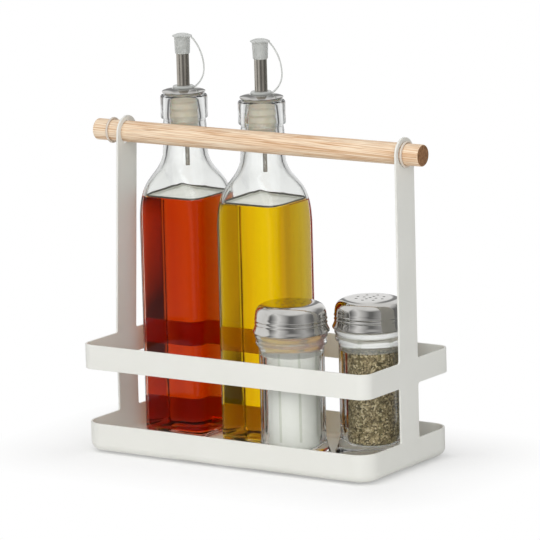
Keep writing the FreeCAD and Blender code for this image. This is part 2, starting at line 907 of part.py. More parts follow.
def build_lid(kind, x, y):
    """A pressed steel screw lid: flared rim, beads, dome and a punched top."""
    steel = d.lid_steel
    rim = d.lid_rim_radius
    skirt = d.lid_skirt_radius
    beads = skirt + d.lid_bead
    bead = d.lid_bead * 3
    shoulder = d.lid_skirt_height
    top = d.lid_height
    outer = [
        (rim, ZERO),
        (rim, ZERO + 1),
        (skirt, d.lid_bead_level - bead),
        (beads, d.lid_bead_level - bead / 2),
        (skirt, d.lid_bead_level),
        (beads, shoulder - bead / 2),
        (skirt, shoulder),
    ]
    inner = [
        (rim - steel, ZERO),
        (rim - steel, ZERO + 1),
        (skirt - steel, d.lid_bead_level - bead),
        (skirt - steel, shoulder),
    ]
    for in_share, up_share in DOME:
        level = shoulder + (top - shoulder) * up_share
        radius = skirt - (skirt - d.lid_top_radius) * in_share
        outer.append((radius, level))
        inner.append((radius - steel * (1 - up_share / 2), level - steel))
    outer.append((ZERO, top))
    inner.append((ZERO, top - steel))
    inner.reverse()
    body = doc.addObject("PartDesign::Body", kind + "_lid_body")
    profile = body_sketch(body, "XZ_Plane", kind + "_lid_profile", outer + inner)
    shell = body.newObject("PartDesign::Revolution", kind + "_lid_shell")
    shell.Profile = profile
    shell.ReferenceAxis = (profile, ["V_Axis"])
    shell.Angle = 360
    doc.recompute()
    for ring, radius, count in (
        ("centre", ZERO, 1),
        ("inner", d.inner_ring_radius, INNER_HOLES),
        ("outer", d.outer_ring_radius, OUTER_HOLES),
    ):
        spot = body_sketch(body, "XY_Plane", kind + "_" + ring + "_spot", None)
        circle = spot.addGeometry(
            Part.Circle(FreeCAD.Vector(radius.value, 0, 0), FreeCAD.Vector(0, 0, 1), 1)
        )
        pin_point(spot, circle, 3, (radius, ZERO))
        number = spot.addConstraint(
            Sketcher.Constraint("Diameter", circle, d.hole_diameter.value)
        )
        spot.setExpression("Constraints[" + str(number) + "]", d.hole_diameter.text)
        punch = body.newObject("PartDesign::Pocket", kind + "_" + ring + "_hole")
        punch.Profile = spot
        punch.Reversed = True
        bind(punch, "Length", d.lid_height * 2)
        body.Tip = punch
        if count > 1:
            holes = body.newObject("PartDesign::PolarPattern", kind + "_" + ring + "_holes")
            holes.Originals = [punch]
            holes.Axis = (spot, ["N_Axis"])
            holes.Angle = 360
            holes.Occurrences = count
            body.Tip = holes
        doc.recompute()
    place(body, x=x, y=y, z=pan_floor + d.jar_neck_level + d.lid_gap)
    label(body, kind + "_lid")


# ---------------------------------------------------------------------------------------------
# Build, check and export
# ---------------------------------------------------------------------------------------------
build_pan()
build_side_frame("left", -half_length, None, d.upright_lean_left)
build_side_frame("right", half_length, 180, d.upright_lean_right)
build_rails()
build_feet()
build_handle()
for kind, x in (("vinegar", bottle_x), ("oil", bottle_x + d.bottle_pitch)):
    build_bottle(kind, x)
    build_stopper(kind, x)
for kind, x, y in (
    ("salt", salt_x, salt_y),
    ("pepper", pepper_x, pepper_y),
):
    build_jar(kind, x, y)
    build_lid(kind, x, y)
doc.recompute()

for thing in doc.Objects:
    if "Invalid" in thing.State or "Error" in thing.State:
        raise RuntimeError(thing.Name + " failed: " + ", ".join(thing.State))
for part in PARTS:
    if part.Shape.isNull() or not part.Shape.isValid():
        raise RuntimeError(part.Label + " has no valid shape")

os.makedirs("parts", exist_ok=True)
for part in PARTS:
    part.Shape.exportStep(os.path.join("parts", part.Label + ".step"))
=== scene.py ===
"""Dresses the condiment caddy: a painted rack, a dowel handle, pourer bottles and shakers."""

import logging
import math
from dataclasses import dataclass
from enum import Enum
from typing import Callable, Optional, Sequence, Union

import bmesh
import bpy
from mathutils import Matrix, Vector, noise


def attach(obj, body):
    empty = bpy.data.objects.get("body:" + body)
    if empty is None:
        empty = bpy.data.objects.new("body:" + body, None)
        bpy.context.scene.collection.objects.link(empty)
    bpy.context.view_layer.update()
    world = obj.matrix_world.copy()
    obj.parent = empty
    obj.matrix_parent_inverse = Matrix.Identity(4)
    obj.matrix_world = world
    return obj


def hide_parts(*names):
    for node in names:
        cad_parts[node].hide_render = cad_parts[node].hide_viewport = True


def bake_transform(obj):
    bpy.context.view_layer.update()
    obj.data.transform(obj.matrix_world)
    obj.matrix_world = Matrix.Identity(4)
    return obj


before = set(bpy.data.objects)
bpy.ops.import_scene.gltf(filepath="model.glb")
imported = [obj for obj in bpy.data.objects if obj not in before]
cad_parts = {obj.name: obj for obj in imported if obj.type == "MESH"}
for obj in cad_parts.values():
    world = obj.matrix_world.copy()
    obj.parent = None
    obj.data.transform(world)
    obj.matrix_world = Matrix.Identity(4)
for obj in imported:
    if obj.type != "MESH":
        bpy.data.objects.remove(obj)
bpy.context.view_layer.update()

MM = 0.001
FULL_TURN = 2 * math.pi
# Points closer than this many millimetres are one point, and edges this close to a level lie at it.
SAME_POINT = 0.0005
AT_LEVEL = 0.01
# A section's reach at a pole, in millimetres: small enough to be merged into one point.
POLE = 0.001
LOG = logging.getLogger("caddy")

Colour = tuple[float, float, float, float]
Corner = tuple[float, ...]
Point = tuple[float, float, float]
Section = Callable[[float], float]


def linear(code: str) -> Colour:
    """Turn a six-digit colour code into linear light.

    Args:
        code: red, green and blue in hexadecimal, such as "E6E6E2".

    Returns:
        The colour with an alpha of 1.
    """
    shares = [int(code[index : index + 2], 16) / 255 for index in (0, 2, 4)]
    light = [
        ((share + 0.055) / 1.055) ** 2.4 if share > 0.04045 else share / 12.92 for share in shares
    ]
    return (light[0], light[1], light[2], 1.0)


# ------------------------------------------------------------------------------------------
# Materials
# ------------------------------------------------------------------------------------------
class Value:
    """A number that changes over a surface: an output socket with Python's arithmetic."""

    def __init__(self, recipe: "Recipe", socket: bpy.types.NodeSocket) -> None:
        """Keep the socket and the recipe that it belongs to."""
        self.recipe = recipe
        self.socket = socket

    def _join(self, operation: str, first: "Number", second: "Number") -> "Value":
        """Add one Math node.

        Args:
            operation: the Math node's operation.
            first: its first input.
            second: its second input.

        Returns:
            The node's result.
        """
        made = self.recipe.node("ShaderNodeMath", {"operation": operation}, {0: first, 1: second})
        return Value(self.recipe, made.outputs[0])

    def __add__(self, other: "Number") -> "Value":
        """Add."""
        return self._join("ADD", self, other)

    def __radd__(self, other: "Number") -> "Value":
        """Add to a number."""
        return self._join("ADD", other, self)

    def __sub__(self, other: "Number") -> "Value":
        """Take away."""
        return self._join("SUBTRACT", self, other)

    def __rsub__(self, other: "Number") -> "Value":
        """Take away from a number."""
        return self._join("SUBTRACT", other, self)

    def __mul__(self, other: "Number") -> "Value":
        """Multiply."""
        return self._join("MULTIPLY", self, other)

    def __rmul__(self, other: "Number") -> "Value":
        """Multiply a number."""
        return self._join("MULTIPLY", other, self)

    def __truediv__(self, other: "Number") -> "Value":
        """Divide."""
        return self._join("DIVIDE", self, other)

    def __pow__(self, other: "Number") -> "Value":
        """Raise to a power."""
        return self._join("POWER", self, other)

    def above(self, level: "Number") -> "Value":
        """Give 1 where the value is over a level, and 0 elsewhere."""
        return self._join("GREATER_THAN", self, level)

    def most(self, other: "Number") -> "Value":
        """Give the larger of two values."""
        return self._join("MAXIMUM", self, other)

    def least(self, other: "Number") -> "Value":
        """Give the smaller of two values."""
        return self._join("MINIMUM", self, other)

    def size(self) -> "Value":
        """Give the value without its sign."""
        return self.most(0 - self)

    def band(self, low: float, high: float) -> "Value":
        """Spread the values between two levels over 0 to 1, and clamp the rest.

        Args:
            low: the level that becomes 0.
            high: the level that becomes 1.

        Returns:
            The spread value.
        """
        levels = {"Value": self, "From Min": low, "From Max": high}
        made = self.recipe.node("ShaderNodeMapRange", {"clamp": True}, levels)
        return Value(self.recipe, made.outputs[0])


Number = Union[float, Value]
Input = Union[float, Sequence[float], Value, bpy.types.NodeSocket]


class Recipe:
    """A material, or the world, in the making."""

    def __init__(self, owner: Union[bpy.types.Material, bpy.types.World]) -> None:
        """Empty the owner's node tree.

        Args:
            owner: the material or world.
        """
        owner.use_nodes = True
        self.owner = owner
        self.tree = owner.node_tree
        self.tree.nodes.clear()

    def node(
        self,
        kind: str,
        settings: Optional[dict[str, object]] = None,
        inputs: Optional[dict[Union[str, int], Input]] = None,
    ) -> bpy.types.Node:
        """Add a node.

        Args:
            kind: the node's type.
            settings: its properties; "stops" are a ramp's positions and colours.
            inputs: values or links for its sockets.

        Returns:
            The node.
        """
        made = self.tree.nodes.new(kind)
        for name, value in (settings or {}).items():
            if name == "stops":
                elements = made.color_ramp.elements
                elements.remove(elements[-1])
                for index, (position, colour) in enumerate(value):
                    stop = elements[0] if index == 0 else elements.new(position)
                    stop.position = position
                    stop.color = colour
            else:
                setattr(made, name, value)
        for key, value in (inputs or {}).items():
            if isinstance(value, Value):
                value = value.socket
            if isinstance(value, bpy.types.NodeSocket):
                self.tree.links.new(value, made.inputs[key])
            else:
                made.inputs[key].default_value = value
        return made

    def place(
        self, stretch: Point = (1, 1, 1), centre: Point = (0, 0, 0), turn: Point = (0, 0, 0)
    ) -> bpy.types.NodeSocket:
        """Give the piece's own coordinates, centred, turned and stretched.

        Args:
            stretch: how many times longer the pattern is along each axis.
            centre: the pattern's middle, in metres.
            turn: its turn about each axis, in degrees.

        Returns:
            The coordinates.
        """
        source = self.node("ShaderNodeTexCoord").outputs["Object"]
        inputs = {
            "Vector": source,
            "Location": centre,
            "Rotation": tuple(math.radians(angle) for angle in turn),
            "Scale": stretch,
        }
        return self.node("ShaderNodeMapping", {"vector_type": "TEXTURE"}, inputs).outputs[0]

    def along(self, axis: str) -> Value:
        """Give one of the piece's own coordinates, in metres."""
        parts = self.node("ShaderNodeSeparateXYZ", None, {0: self.place()})
        return Value(self, parts.outputs[axis])

    def cloud(
        self, size: float, detail: float = 2.0, stretch: Point = (1, 1, 1), **place: Point
    ) -> Value:
        """Give soft noise.

        Args:
            size: how large its lumps are, in millimetres.
            detail: how many finer layers it has.
            stretch: how many times longer its lumps are along each axis.
            place: the pattern's centre and turn.

        Returns:
            The noise, about 0.5 in the middle.
        """
        where = self.place(stretch, **place)
        inputs = {"Vector": where, "Scale": 1 / (size * MM), "Detail": detail}
        return Value(self, self.node("ShaderNodeTexNoise", None, inputs).outputs[0])

    def specks(
        self, size: float, tinted: bool = False
    ) -> Union[Value, bpy.types.NodeSocket]:
        """Give grains that touch.

        Args:
            size: a grain's width, in millimetres.
            tinted: whether to give each grain a random colour instead of its height.

        Returns:
            The distance from each grain's middle, or its colour.
        """
        inputs = {"Vector": self.place(), "Scale": 1 / (size * MM)}
        made = self.node("ShaderNodeTexVoronoi", None, inputs)
        return made.outputs["Color"] if tinted else Value(self, made.outputs["Distance"])

    def ramp(self, share: Number, stops: Sequence[tuple[float, Colour]]) -> bpy.types.NodeSocket:
        """Turn a value into a colour by stops."""
        return self.node("ShaderNodeValToRGB", {"stops": stops}, {0: share}).outputs[0]

    def mix(
        self, first: Input, second: Input, share: Number, way: str = "MIX"
    ) -> bpy.types.NodeSocket:
        """Mix two colours.

        Args:
            first: the colour where the share is 0.
            second: the colour where the share is 1.
            share: the mask.
            way: the blend type.

        Returns:
            The mixed colour.
        """
        settings = {"data_type": "RGBA", "blend_type": way}
        return self.node("ShaderNodeMix", settings, {0: share, 6: first, 7: second}).outputs[2]

    def relief(self, height: Number, depth: float, strength: float = 1.0) -> bpy.types.NodeSocket:
        """Turn a height into a bumped normal.

        Args:
            height: the height, from 0 to 1.
            depth: how deep it is, in millimetres.
            strength: how strongly it shows.

        Returns:
            The normal.
        """
        inputs = {"Height": height, "Distance": depth * MM, "Strength": strength}
        return self.node("ShaderNodeBump", None, inputs).outputs[0]

    def facing(self, blend: float) -> Value:
        """Give how edge-on the surface is seen."""
        made = self.node("ShaderNodeLayerWeight", None, {"Blend": blend})
        return Value(self, made.outputs["Facing"])

    def rays(self) -> tuple[Value, Value, Value]:
        """Give where the lens sees the surface, where glass passes it on, and where it is mirrored.

        Returns:
            The three masks. Light that bends through glass counts as glossy too, so the last
            one leaves it out.
        """
        path = self.node("ShaderNodeLightPath")
        camera, crossing, glossy = (
            Value(self, path.outputs["Is " + kind + " Ray"])
            for kind in ("Camera", "Transmission", "Glossy")
        )
        return camera, crossing, glossy * (1 - crossing)

    def coat(
        self,
        volume: Optional[tuple[Colour, float]] = None,
        cast: Optional[str] = None,
        **inputs: Input,
    ) -> bpy.types.Material:
        """Finish the material with one surface shader.

        Args:
            volume: the colour and density of what absorbs light inside.
            cast: the colour of the light that goes straight on through it to what it shades.
            inputs: the shader's sockets, with _ for a space.

        Returns:
            The finished material.
        """
        sockets = {name.replace("_", " "): value for name, value in inputs.items()}
        surface = self.node("ShaderNodeBsdfPrincipled", None, sockets)
        if cast:
            shade = self.node("ShaderNodeLightPath").outputs["Is Shadow Ray"]
            let_by = self.node("ShaderNodeBsdfTransparent", None, {"Color": linear(cast)})
            shares = {0: shade, 1: surface.outputs[0], 2: let_by.outputs[0]}
            surface = self.node("ShaderNodeMixShader", None, shares)
        links = {"Surface": surface.outputs[0]}
        if volume:
            inside = self.node(
                "ShaderNodeVolumeAbsorption", None, {"Color": volume[0], "Density": volume[1]}
            )
            links["Volume"] = inside.outputs[0]
        self.node("ShaderNodeOutputMaterial", None, links)
        return self.owner


@dataclass(frozen=True)
class Finish:
    """A finish, whose material is made once."""

    name: str

    def material(self) -> bpy.types.Material:
        """Give the finish's material.

        Returns:
            The material, which the first call makes.
        """
        if self not in MADE:
            MADE[self] = self.make(Recipe(bpy.data.materials.new(self.name + "_finish")))
        return MADE[self]

    def make(self, recipe: Recipe) -> bpy.types.Material:
        """Fill in the recipe."""
        raise NotImplementedError


MADE: dict[Finish, bpy.types.Material] = {}


@dataclass(frozen=True)
class PaintedSteel(Finish):
    """Matt powder paint on sheet steel."""

    colour: str = "EDEDE8"
    shade: str = "E4E4DD"

    def make(self, recipe: Recipe) -> bpy.types.Material:
        """Fill in the recipe: faint clouding, and the skin of a powder coat.

        Args:
            recipe: the material in the making.

        Returns:
            The finished material.
        """
        tone = recipe.cloud(45, 3)
        skin = recipe.cloud(0.9, 2) * 0.7 + recipe.cloud(0.35, 1) * 0.3
        return recipe.coat(
            Base_Color=recipe.mix(linear(self.colour), linear(self.shade), tone),
            Roughness=0.42 + recipe.cloud(7, 2) * 0.12,
            Specular_IOR_Level=0.42,
            Normal=recipe.relief(skin, 0.03, 0.35),
        )


@dataclass(frozen=True)
class AshWood(Finish):
    """Oiled ash: long growth lines with open pores, and darker end grain."""

    pale: str = "F4E0C6"
    middle: str = "EBCCAA"
    dark: str = "C8986C"
    start: float = 0.0
    end: float = 0.0

    def make(self, recipe: Recipe) -> bpy.types.Material:
        """Fill in the recipe: growth lines, pores and the two sawn ends.

        Args:
            recipe: the material in the making.

        Returns:
            The finished material.
        """
        tilt = (0, 1.3, 0)
        broad = recipe.cloud(3.6, 2, (34, 1, 1), turn=tilt).band(0.3, 0.7)
        lines = recipe.cloud(0.7, 1, (170, 1, 1), turn=tilt).band(0.4, 0.6)
        fine = recipe.cloud(0.45, 1, (150, 1, 1), turn=tilt).band(0.3, 0.7)
        grain = broad * 0.15 + lines * 0.55 + fine * 0.3
        stops = [
            (0.08, linear(self.dark)),
            (0.4, linear(self.middle)),
            (0.66, linear(self.pale)),
            (0.95, linear("F6E2C6")),
        ]
        side = recipe.ramp(grain, stops)
        pores = 1 - recipe.cloud(0.5, 1, (45, 1, 1), turn=tilt).band(0.32, 0.44)
        side = recipe.mix(side, linear("B07C50"), pores * 0.6)
        rings = recipe.cloud(0.7, 3, (1, 1, 2.5), turn=(24, 0, 0))
        sawn = recipe.ramp(rings.band(0.3, 0.7), [(0.0, linear("6F4A2C")), (1.0, linear("A67A52"))])
        here = recipe.along("X")
        ends = (here - self.end).above(0.0).most((self.start - here).above(0.0))
        return recipe.coat(
            Base_Color=recipe.mix(side, sawn, ends),
            Roughness=0.48 + pores * 0.2,
            Specular_IOR_Level=0.35,
            Normal=recipe.relief(1 - pores * 0.8 + fine * 0.2, 0.06, 0.5),
        )


@dataclass(frozen=True)
class ClearGlass(Finish):
    """Pressed glass, with painted shade that darkens it where it is seen edge-on."""

    # edge is the colour of the painted shade where the glass is seen edge-on; depth sets how far in
    # from the edge it spreads.
    edge: str = "161817"
    bend: float = 1.45
    depth: float = 0.3
    clear: str = "FCFDFC"

    def make(self, recipe: Recipe) -> bpy.types.Material:
        """Fill in the recipe: a clear body, painted grey shade at the edge and faint mould waves.

        Args:
            recipe: the material in the making.

        Returns:
            The finished material.
        """
        # Painted shade: the base colour darkens as the surface turns edge-on, for the dark edges
        # that refraction gives.
        rim = recipe.facing(self.depth)
        waves = recipe.cloud(14, 2)
        return recipe.coat(
            cast="FBFCFB",
            Base_Color=recipe.mix(linear(self.clear), linear(self.edge), rim ** 1.7),
            Roughness=recipe.cloud(20, 2).band(0.35, 0.9) * 0.02,
            Transmission_Weight=1.0,
            IOR=self.bend,
            Normal=recipe.relief(waves, 0.12, 0.25),
        )


@dataclass(frozen=True)
class Liquid(Finish):
    """A clear liquid with colour through its depth."""

    tint: str = "FFFFFF"
    # deep is the deeper tint: painted shade near the corners, and the colour it darkens to towards
    # the bottom.
    deep: str = "FFFFFF"
    cast: str = "FFFFFF"
    absorbed: Colour = (1, 1, 1, 1)
    density: float = 100.0
    bend: float = 1.0
    middle: float = 0.0
    half: float = 0.0285

    def make(self, recipe: Recipe) -> bpy.types.Material:
        """Fill in the recipe: a tint that deepens downwards and, as painted shade, towards the
        corners, and absorption inside.

        Args:
            recipe: the material in the making.

        Returns:
            The finished material.
        """
        low = 1 - recipe.along("Z").band(0.02, 0.17)
        across = (recipe.along("X") - self.middle).size()
        # Painted shade: the tint deepens near the upright corners, broken by upright streaks, for
        # the dark corners that bent light gives; it also deepens towards the bottom.
        corner = across.least(recipe.along("Y").size()) / self.half
        streaks = recipe.cloud(5, 2, (1, 1, 30)).band(0.3, 0.7)
        shade = (corner.band(0.3, 0.75) * (0.75 + streaks * 0.25)).most(low * 0.2)
        return recipe.coat(
            (self.absorbed, self.density),
            cast=self.cast,
            Base_Color=recipe.mix(linear(self.tint), linear(self.deep), shade),
            Roughness=0.0,
            Transmission_Weight=1.0,
            IOR=self.bend,
        )


@dataclass(frozen=True)
class WettedGlass(Finish):
    """A bottle's inner wall where liquid touches it: light bends less there than at the air."""

    bend: float = 1.1

    def make(self, recipe: Recipe) -> bpy.types.Material:
        """Fill in the recipe: clear, with faint clouding.

        Args:
            recipe: the material in the making.

        Returns:
            The finished material.
        """
        return recipe.coat(
            cast="FFFFFF",
            Base_Color=recipe.mix(linear("FFFFFF"), linear("F4F4F2"), recipe.cloud(25, 2)),
            Roughness=0.0,
            Transmission_Weight=1.0,
            IOR=self.bend,
        )


@dataclass(frozen=True)
class Steel(Finish):
    """Polished or drawn stainless steel."""

    bright: str = "D6D5D2"
    dull: str = "B5B3AF"
    polish: float = 0.08
    lines: float = 0.1
    lay: Point = (1, 1, 1)

    def make(self, recipe: Recipe) -> bpy.types.Material:
        """Fill in the recipe: cloudy polish, with fine lines the way it was drawn or spun.

        Args:
            recipe: the material in the making.

        Returns:
            The finished material.
        """
        smear = recipe.cloud(9, 3)
        lines = recipe.cloud(0.25, 2, self.lay)
        return recipe.coat(
            Base_Color=recipe.mix(linear(self.bright), linear(self.dull), smear),
            Metallic=1.0,
            Roughness=self.polish + smear.band(0.4, 0.9) * 0.06,
            Normal=recipe.relief(lines, 0.01, self.lines),
        )


@dataclass(frozen=True)
class Rubber(Finish):
    """The stopper's soft moulded rubber."""

    colour: str = "CEC8B8"

    def make(self, recipe: Recipe) -> bpy.types.Material:
        """Fill in the recipe: a satin skin with fine mould grain.

        Args:
            recipe: the material in the making.

        Returns:
            The finished material.
        """
        tone = recipe.cloud(5, 3)
        return recipe.coat(
            Base_Color=recipe.mix(linear(self.colour), linear("BDB6A5"), tone),
            Roughness=0.45 + tone * 0.15,
            Subsurface_Weight=0.25,
            Subsurface_Scale=0.002,
            Normal=recipe.relief(recipe.cloud(0.3, 2), 0.02, 0.3),
        )


@dataclass(frozen=True)
class SoftPlastic(Finish):
    """Milky or clear flexible plastic."""

    colour: str = "E0E2DF"
    shade: str = "C0C3BF"
    clearness: float = 0.35
    haze: float = 0.22

    def make(self, recipe: Recipe) -> bpy.types.Material:
        """Fill in the recipe: cloudy and slightly see-through.

        Args:
            recipe: the material in the making.

        Returns:
            The finished material.
        """
        cloud = recipe.cloud(3, 3)
        return recipe.coat(
            Base_Color=recipe.mix(linear(self.colour), linear(self.shade), cloud),
            Roughness=self.haze + cloud * 0.12,
            Alpha=1 - self.clearness,
            IOR=1.4,
        )


@dataclass(frozen=True)
class PaintedLiquidSkin(Finish):
    """The surface of a still liquid: opaque pale grey, a painted reflection of the pale room above
    it, with real gloss on top.
    """

    # light and dark are the colours of the painted reflection.
    light: str = "F8F8EC"
    dark: str = "D0D1C2"

    def make(self, recipe: Recipe) -> bpy.types.Material:
        """Fill in the recipe: glossy pale grey with soft clouds; the pale grey is painted
        reflection.

        Args:
            recipe: the material in the making.

        Returns:
            The finished material.
        """
        cloud = recipe.cloud(12, 2)
        return recipe.coat(
            cast="F4F4F2",
            Base_Color=recipe.mix(linear(self.light), linear(self.dark), cloud),
            Roughness=0.1 + cloud * 0.1,
            Specular_IOR_Level=0.8,
        )


class Seasoning(Enum):
    """What a shaker holds."""

    SALT = "salt"
    PEPPER = "pepper"


@dataclass(frozen=True)
class Grains(Finish):
    """Loose seasoning, seen through the glass."""

    kind: Seasoning = Seasoning.SALT

    def make(self, recipe: Recipe) -> bpy.types.Material:
        """Fill in the recipe: fine white crystals with painted shade between them, or cracked
        pepper of mixed colours.

        Args:
            recipe: the material in the making.

        Returns:
            The finished material.
        """
        if self.kind is Seasoning.SALT:
            crystals = recipe.specks(0.35)
            colour = recipe.mix(linear("F2F2EE"), linear("E6E6E0"), recipe.cloud(4, 3))
            # Greyer towards each crystal's edge: painted shade in the gaps between crystals.
            return recipe.coat(
                Base_Color=recipe.mix(colour, linear("DADAD3"), crystals.band(0.45, 0.9)),
                Roughness=0.75,
                Normal=recipe.relief(crystals, 0.15, 0.4),
            )
        parts = recipe.node("ShaderNodeSeparateColor", None, {0: recipe.specks(1.2, True)})
        chips = Value(recipe, parts.outputs[0])
        stops = [
            (0.0, linear("2A2418")),
            (0.25, linear("5A4F38")),
            (0.5, linear("857757")),
            (0.75, linear("AD9C77")),
            (1.0, linear("E2D6B4")),
        ]
        colour = recipe.ramp(chips * 0.85 + recipe.cloud(1.6, 2) * 0.15, stops)
        return recipe.coat(
            Base_Color=recipe.mix(colour, linear("9A8A68"), recipe.cloud(6, 2) * 0.2),
            Roughness=0.8,
            Normal=recipe.relief(recipe.specks(1.2), 0.35, 0.7),
        )


# The studio is set up round the direction it is looked at from, in degrees.
LOOK_AZIMUTH = 33.716
# How bright metal mirrors the studio's dark parts, and what its lights add.
DIM_WALL = 0.18
BRIGHT_WALL = 0.76


def surroundings(recipe: Recipe, way: bpy.types.NodeSocket) -> tuple[Value, Value]:
    """Give how bright the studio's surroundings are one way.

    Args:
        recipe: the material or world being written.
        way: the direction looked in, of length 1.

    Returns:
        The brightness seen through glass, and the one mirrored in metal and glass.
    """
    azimuth = math.radians(LOOK_AZIMUTH)

    def towards(direction: Point) -> Value:
        """Give how far a ray goes one way.

        Args:
            direction: the way, of length 1.

        Returns:
            The share of the ray along it, from -1 to 1.
        """
        inputs = {0: way, 1: direction}
        dot = recipe.node("ShaderNodeVectorMath", {"operation": "DOT_PRODUCT"}, inputs)
        return Value(recipe, dot.outputs["Value"])

    side = towards((math.cos(azimuth), math.sin(azimuth), 0))
    across = side.size()
    front = towards((math.sin(azimuth), -math.cos(azimuth), 0))
    # Seen through glass: white in the middle, greyer to the sides, with a dark board on each side.
    boards = across.band(0.62, 0.68) * (1 - across.band(0.82, 0.88))
    through = 1 - across.band(0.1, 0.5) * 0.3 - boards * 0.6
    # Mirrored: soft boxes on both sides of the lens, the left one brighter.
    boxes = across.band(0.08, 0.62) * (1 - across.band(0.66, 0.92)) * front.band(-0.4, 0.3)
    boxes = boxes * (1 - side.band(0.0, 0.1) * 0.5)
    # Mirrored: the white wall behind, with two narrow dark slots and darker ends.
    slots = across.band(0.04, 0.07) * (1 - across.band(0.13, 0.18))
    ends = across.band(0.42, 0.7)
    behind = (0 - front).band(-0.1, 0.5) * (1 - ends * 0.85) * (1 - slots * 0.85)
    left = (0 - side).band(0.5, 0.65) * (0 - front).band(-0.32, -0.16)
    overhead = towards((0, 0, 1)).band(0.45, 0.8)
    return through, DIM_WALL + behind.most(overhead).most(boxes).most(left) * BRIGHT_WALL


@dataclass(frozen=True)
class StudioFloor(Finish):
    """White paper that glows less near the piece, so that its real shadow shows there, with a
    painted grey halo fading out round its footprint; it is plain white further off.
    """

    half_length: float = 0.118
    half_depth: float = 0.052
    reach: float = 0.08
    glow: float = 0.35
    fade: float = 0.6

    def make(self, recipe: Recipe) -> bpy.types.Material:
        """Fill in the recipe: paper that glows plain white where the lens or glass sees it.

        Args:
            recipe: the material in the making.

        Returns:
            The finished material.
        """
        camera, crossing, glossy = recipe.rays()
        place = recipe.place()
        past_end = (recipe.along("X").size() - self.half_length).most(0)
        past_side = (recipe.along("Y").size() - self.half_depth).most(0)
        away = (past_end * past_end + past_side * past_side) ** 0.5
        # Less glow near the footprint: the real shadow shows through, and the fade by distance
        # paints a soft grey halo round the piece.
        plain = self.glow + (1 - self.glow) * away.band(0, self.reach) ** self.fade
        unit = recipe.node("ShaderNodeVectorMath", {"operation": "NORMALIZE"}, {0: place})
        through, mirror = surroundings(recipe, unit.outputs[0])
        share = (camera * plain).most(crossing * plain).most(glossy)
        shine = camera + crossing * through + glossy * mirror
        paper = recipe.node("ShaderNodeBsdfDiffuse", None, {"Color": linear("F6F6F5")})
        light = {"Color": linear("FFFFFF"), "Strength": shine}
        white = recipe.node("ShaderNodeEmission", None, light)
        shares = {0: share, 1: paper.outputs[0], 2: white.outputs[0]}
        mixed = recipe.node("ShaderNodeMixShader", None, shares)
        recipe.node("ShaderNodeOutputMaterial", None, {"Surface": mixed.outputs[0]})
        return recipe.owner


PAINT = PaintedSteel("white_paint")
GLASS = ClearGlass("bottle_glass")
JAR_GLASS = ClearGlass("jar_glass", edge="50544F", bend=1.22)
# The jar's panel ridges: a greyer, darker copy of the jar glass, painted shade along the ridges.
SHADED_RIDGE_GLASS = ClearGlass("ridge_shade_glass", edge="3C403A", bend=1.3, clear="D2D6CC")
PLUG_RUBBER = Rubber("stopper_rubber")
CHROME = Steel("polished_steel", polish=0.05)
TUBE_STEEL = Steel(
    "tube_steel", bright="C2BDB4", dull="9C968C", polish=0.2, lines=0.3, lay=(1, 1, 40)
)
LID_STEEL = Steel(
    "lid_steel", bright="DAD9D6", dull="BEBCB8", polish=0.06, lines=0.08, lay=(1, 1, 12)
)
# The liquid's skin: opaque pale grey, painted reflection of the room above.
SKIN_REFLECTION = PaintedLiquidSkin("liquid_skin_reflection")
# A dark ring where the liquid meets the glass: painted shade.
BRINK_SHADE = PaintedLiquidSkin("liquid_brink_shade", light="4A4636", dark="2B2A20")
CAP_PLASTIC = SoftPlastic("cap_plastic")
RING_PLASTIC = SoftPlastic(
    "ring_rubber", colour="E4DACE", shade="D6CBBE", clearness=0.05, haze=0.35
)
# A pale, mostly see-through sheet on the jars' inner wall above the seasoning: painted light for
# the necks' pale look.
NECK_LIGHT_FILM = SoftPlastic(
    "neck_light_film", colour="FDFEFA", shade="F0F3EA", clearness=0.78, haze=0.3
)


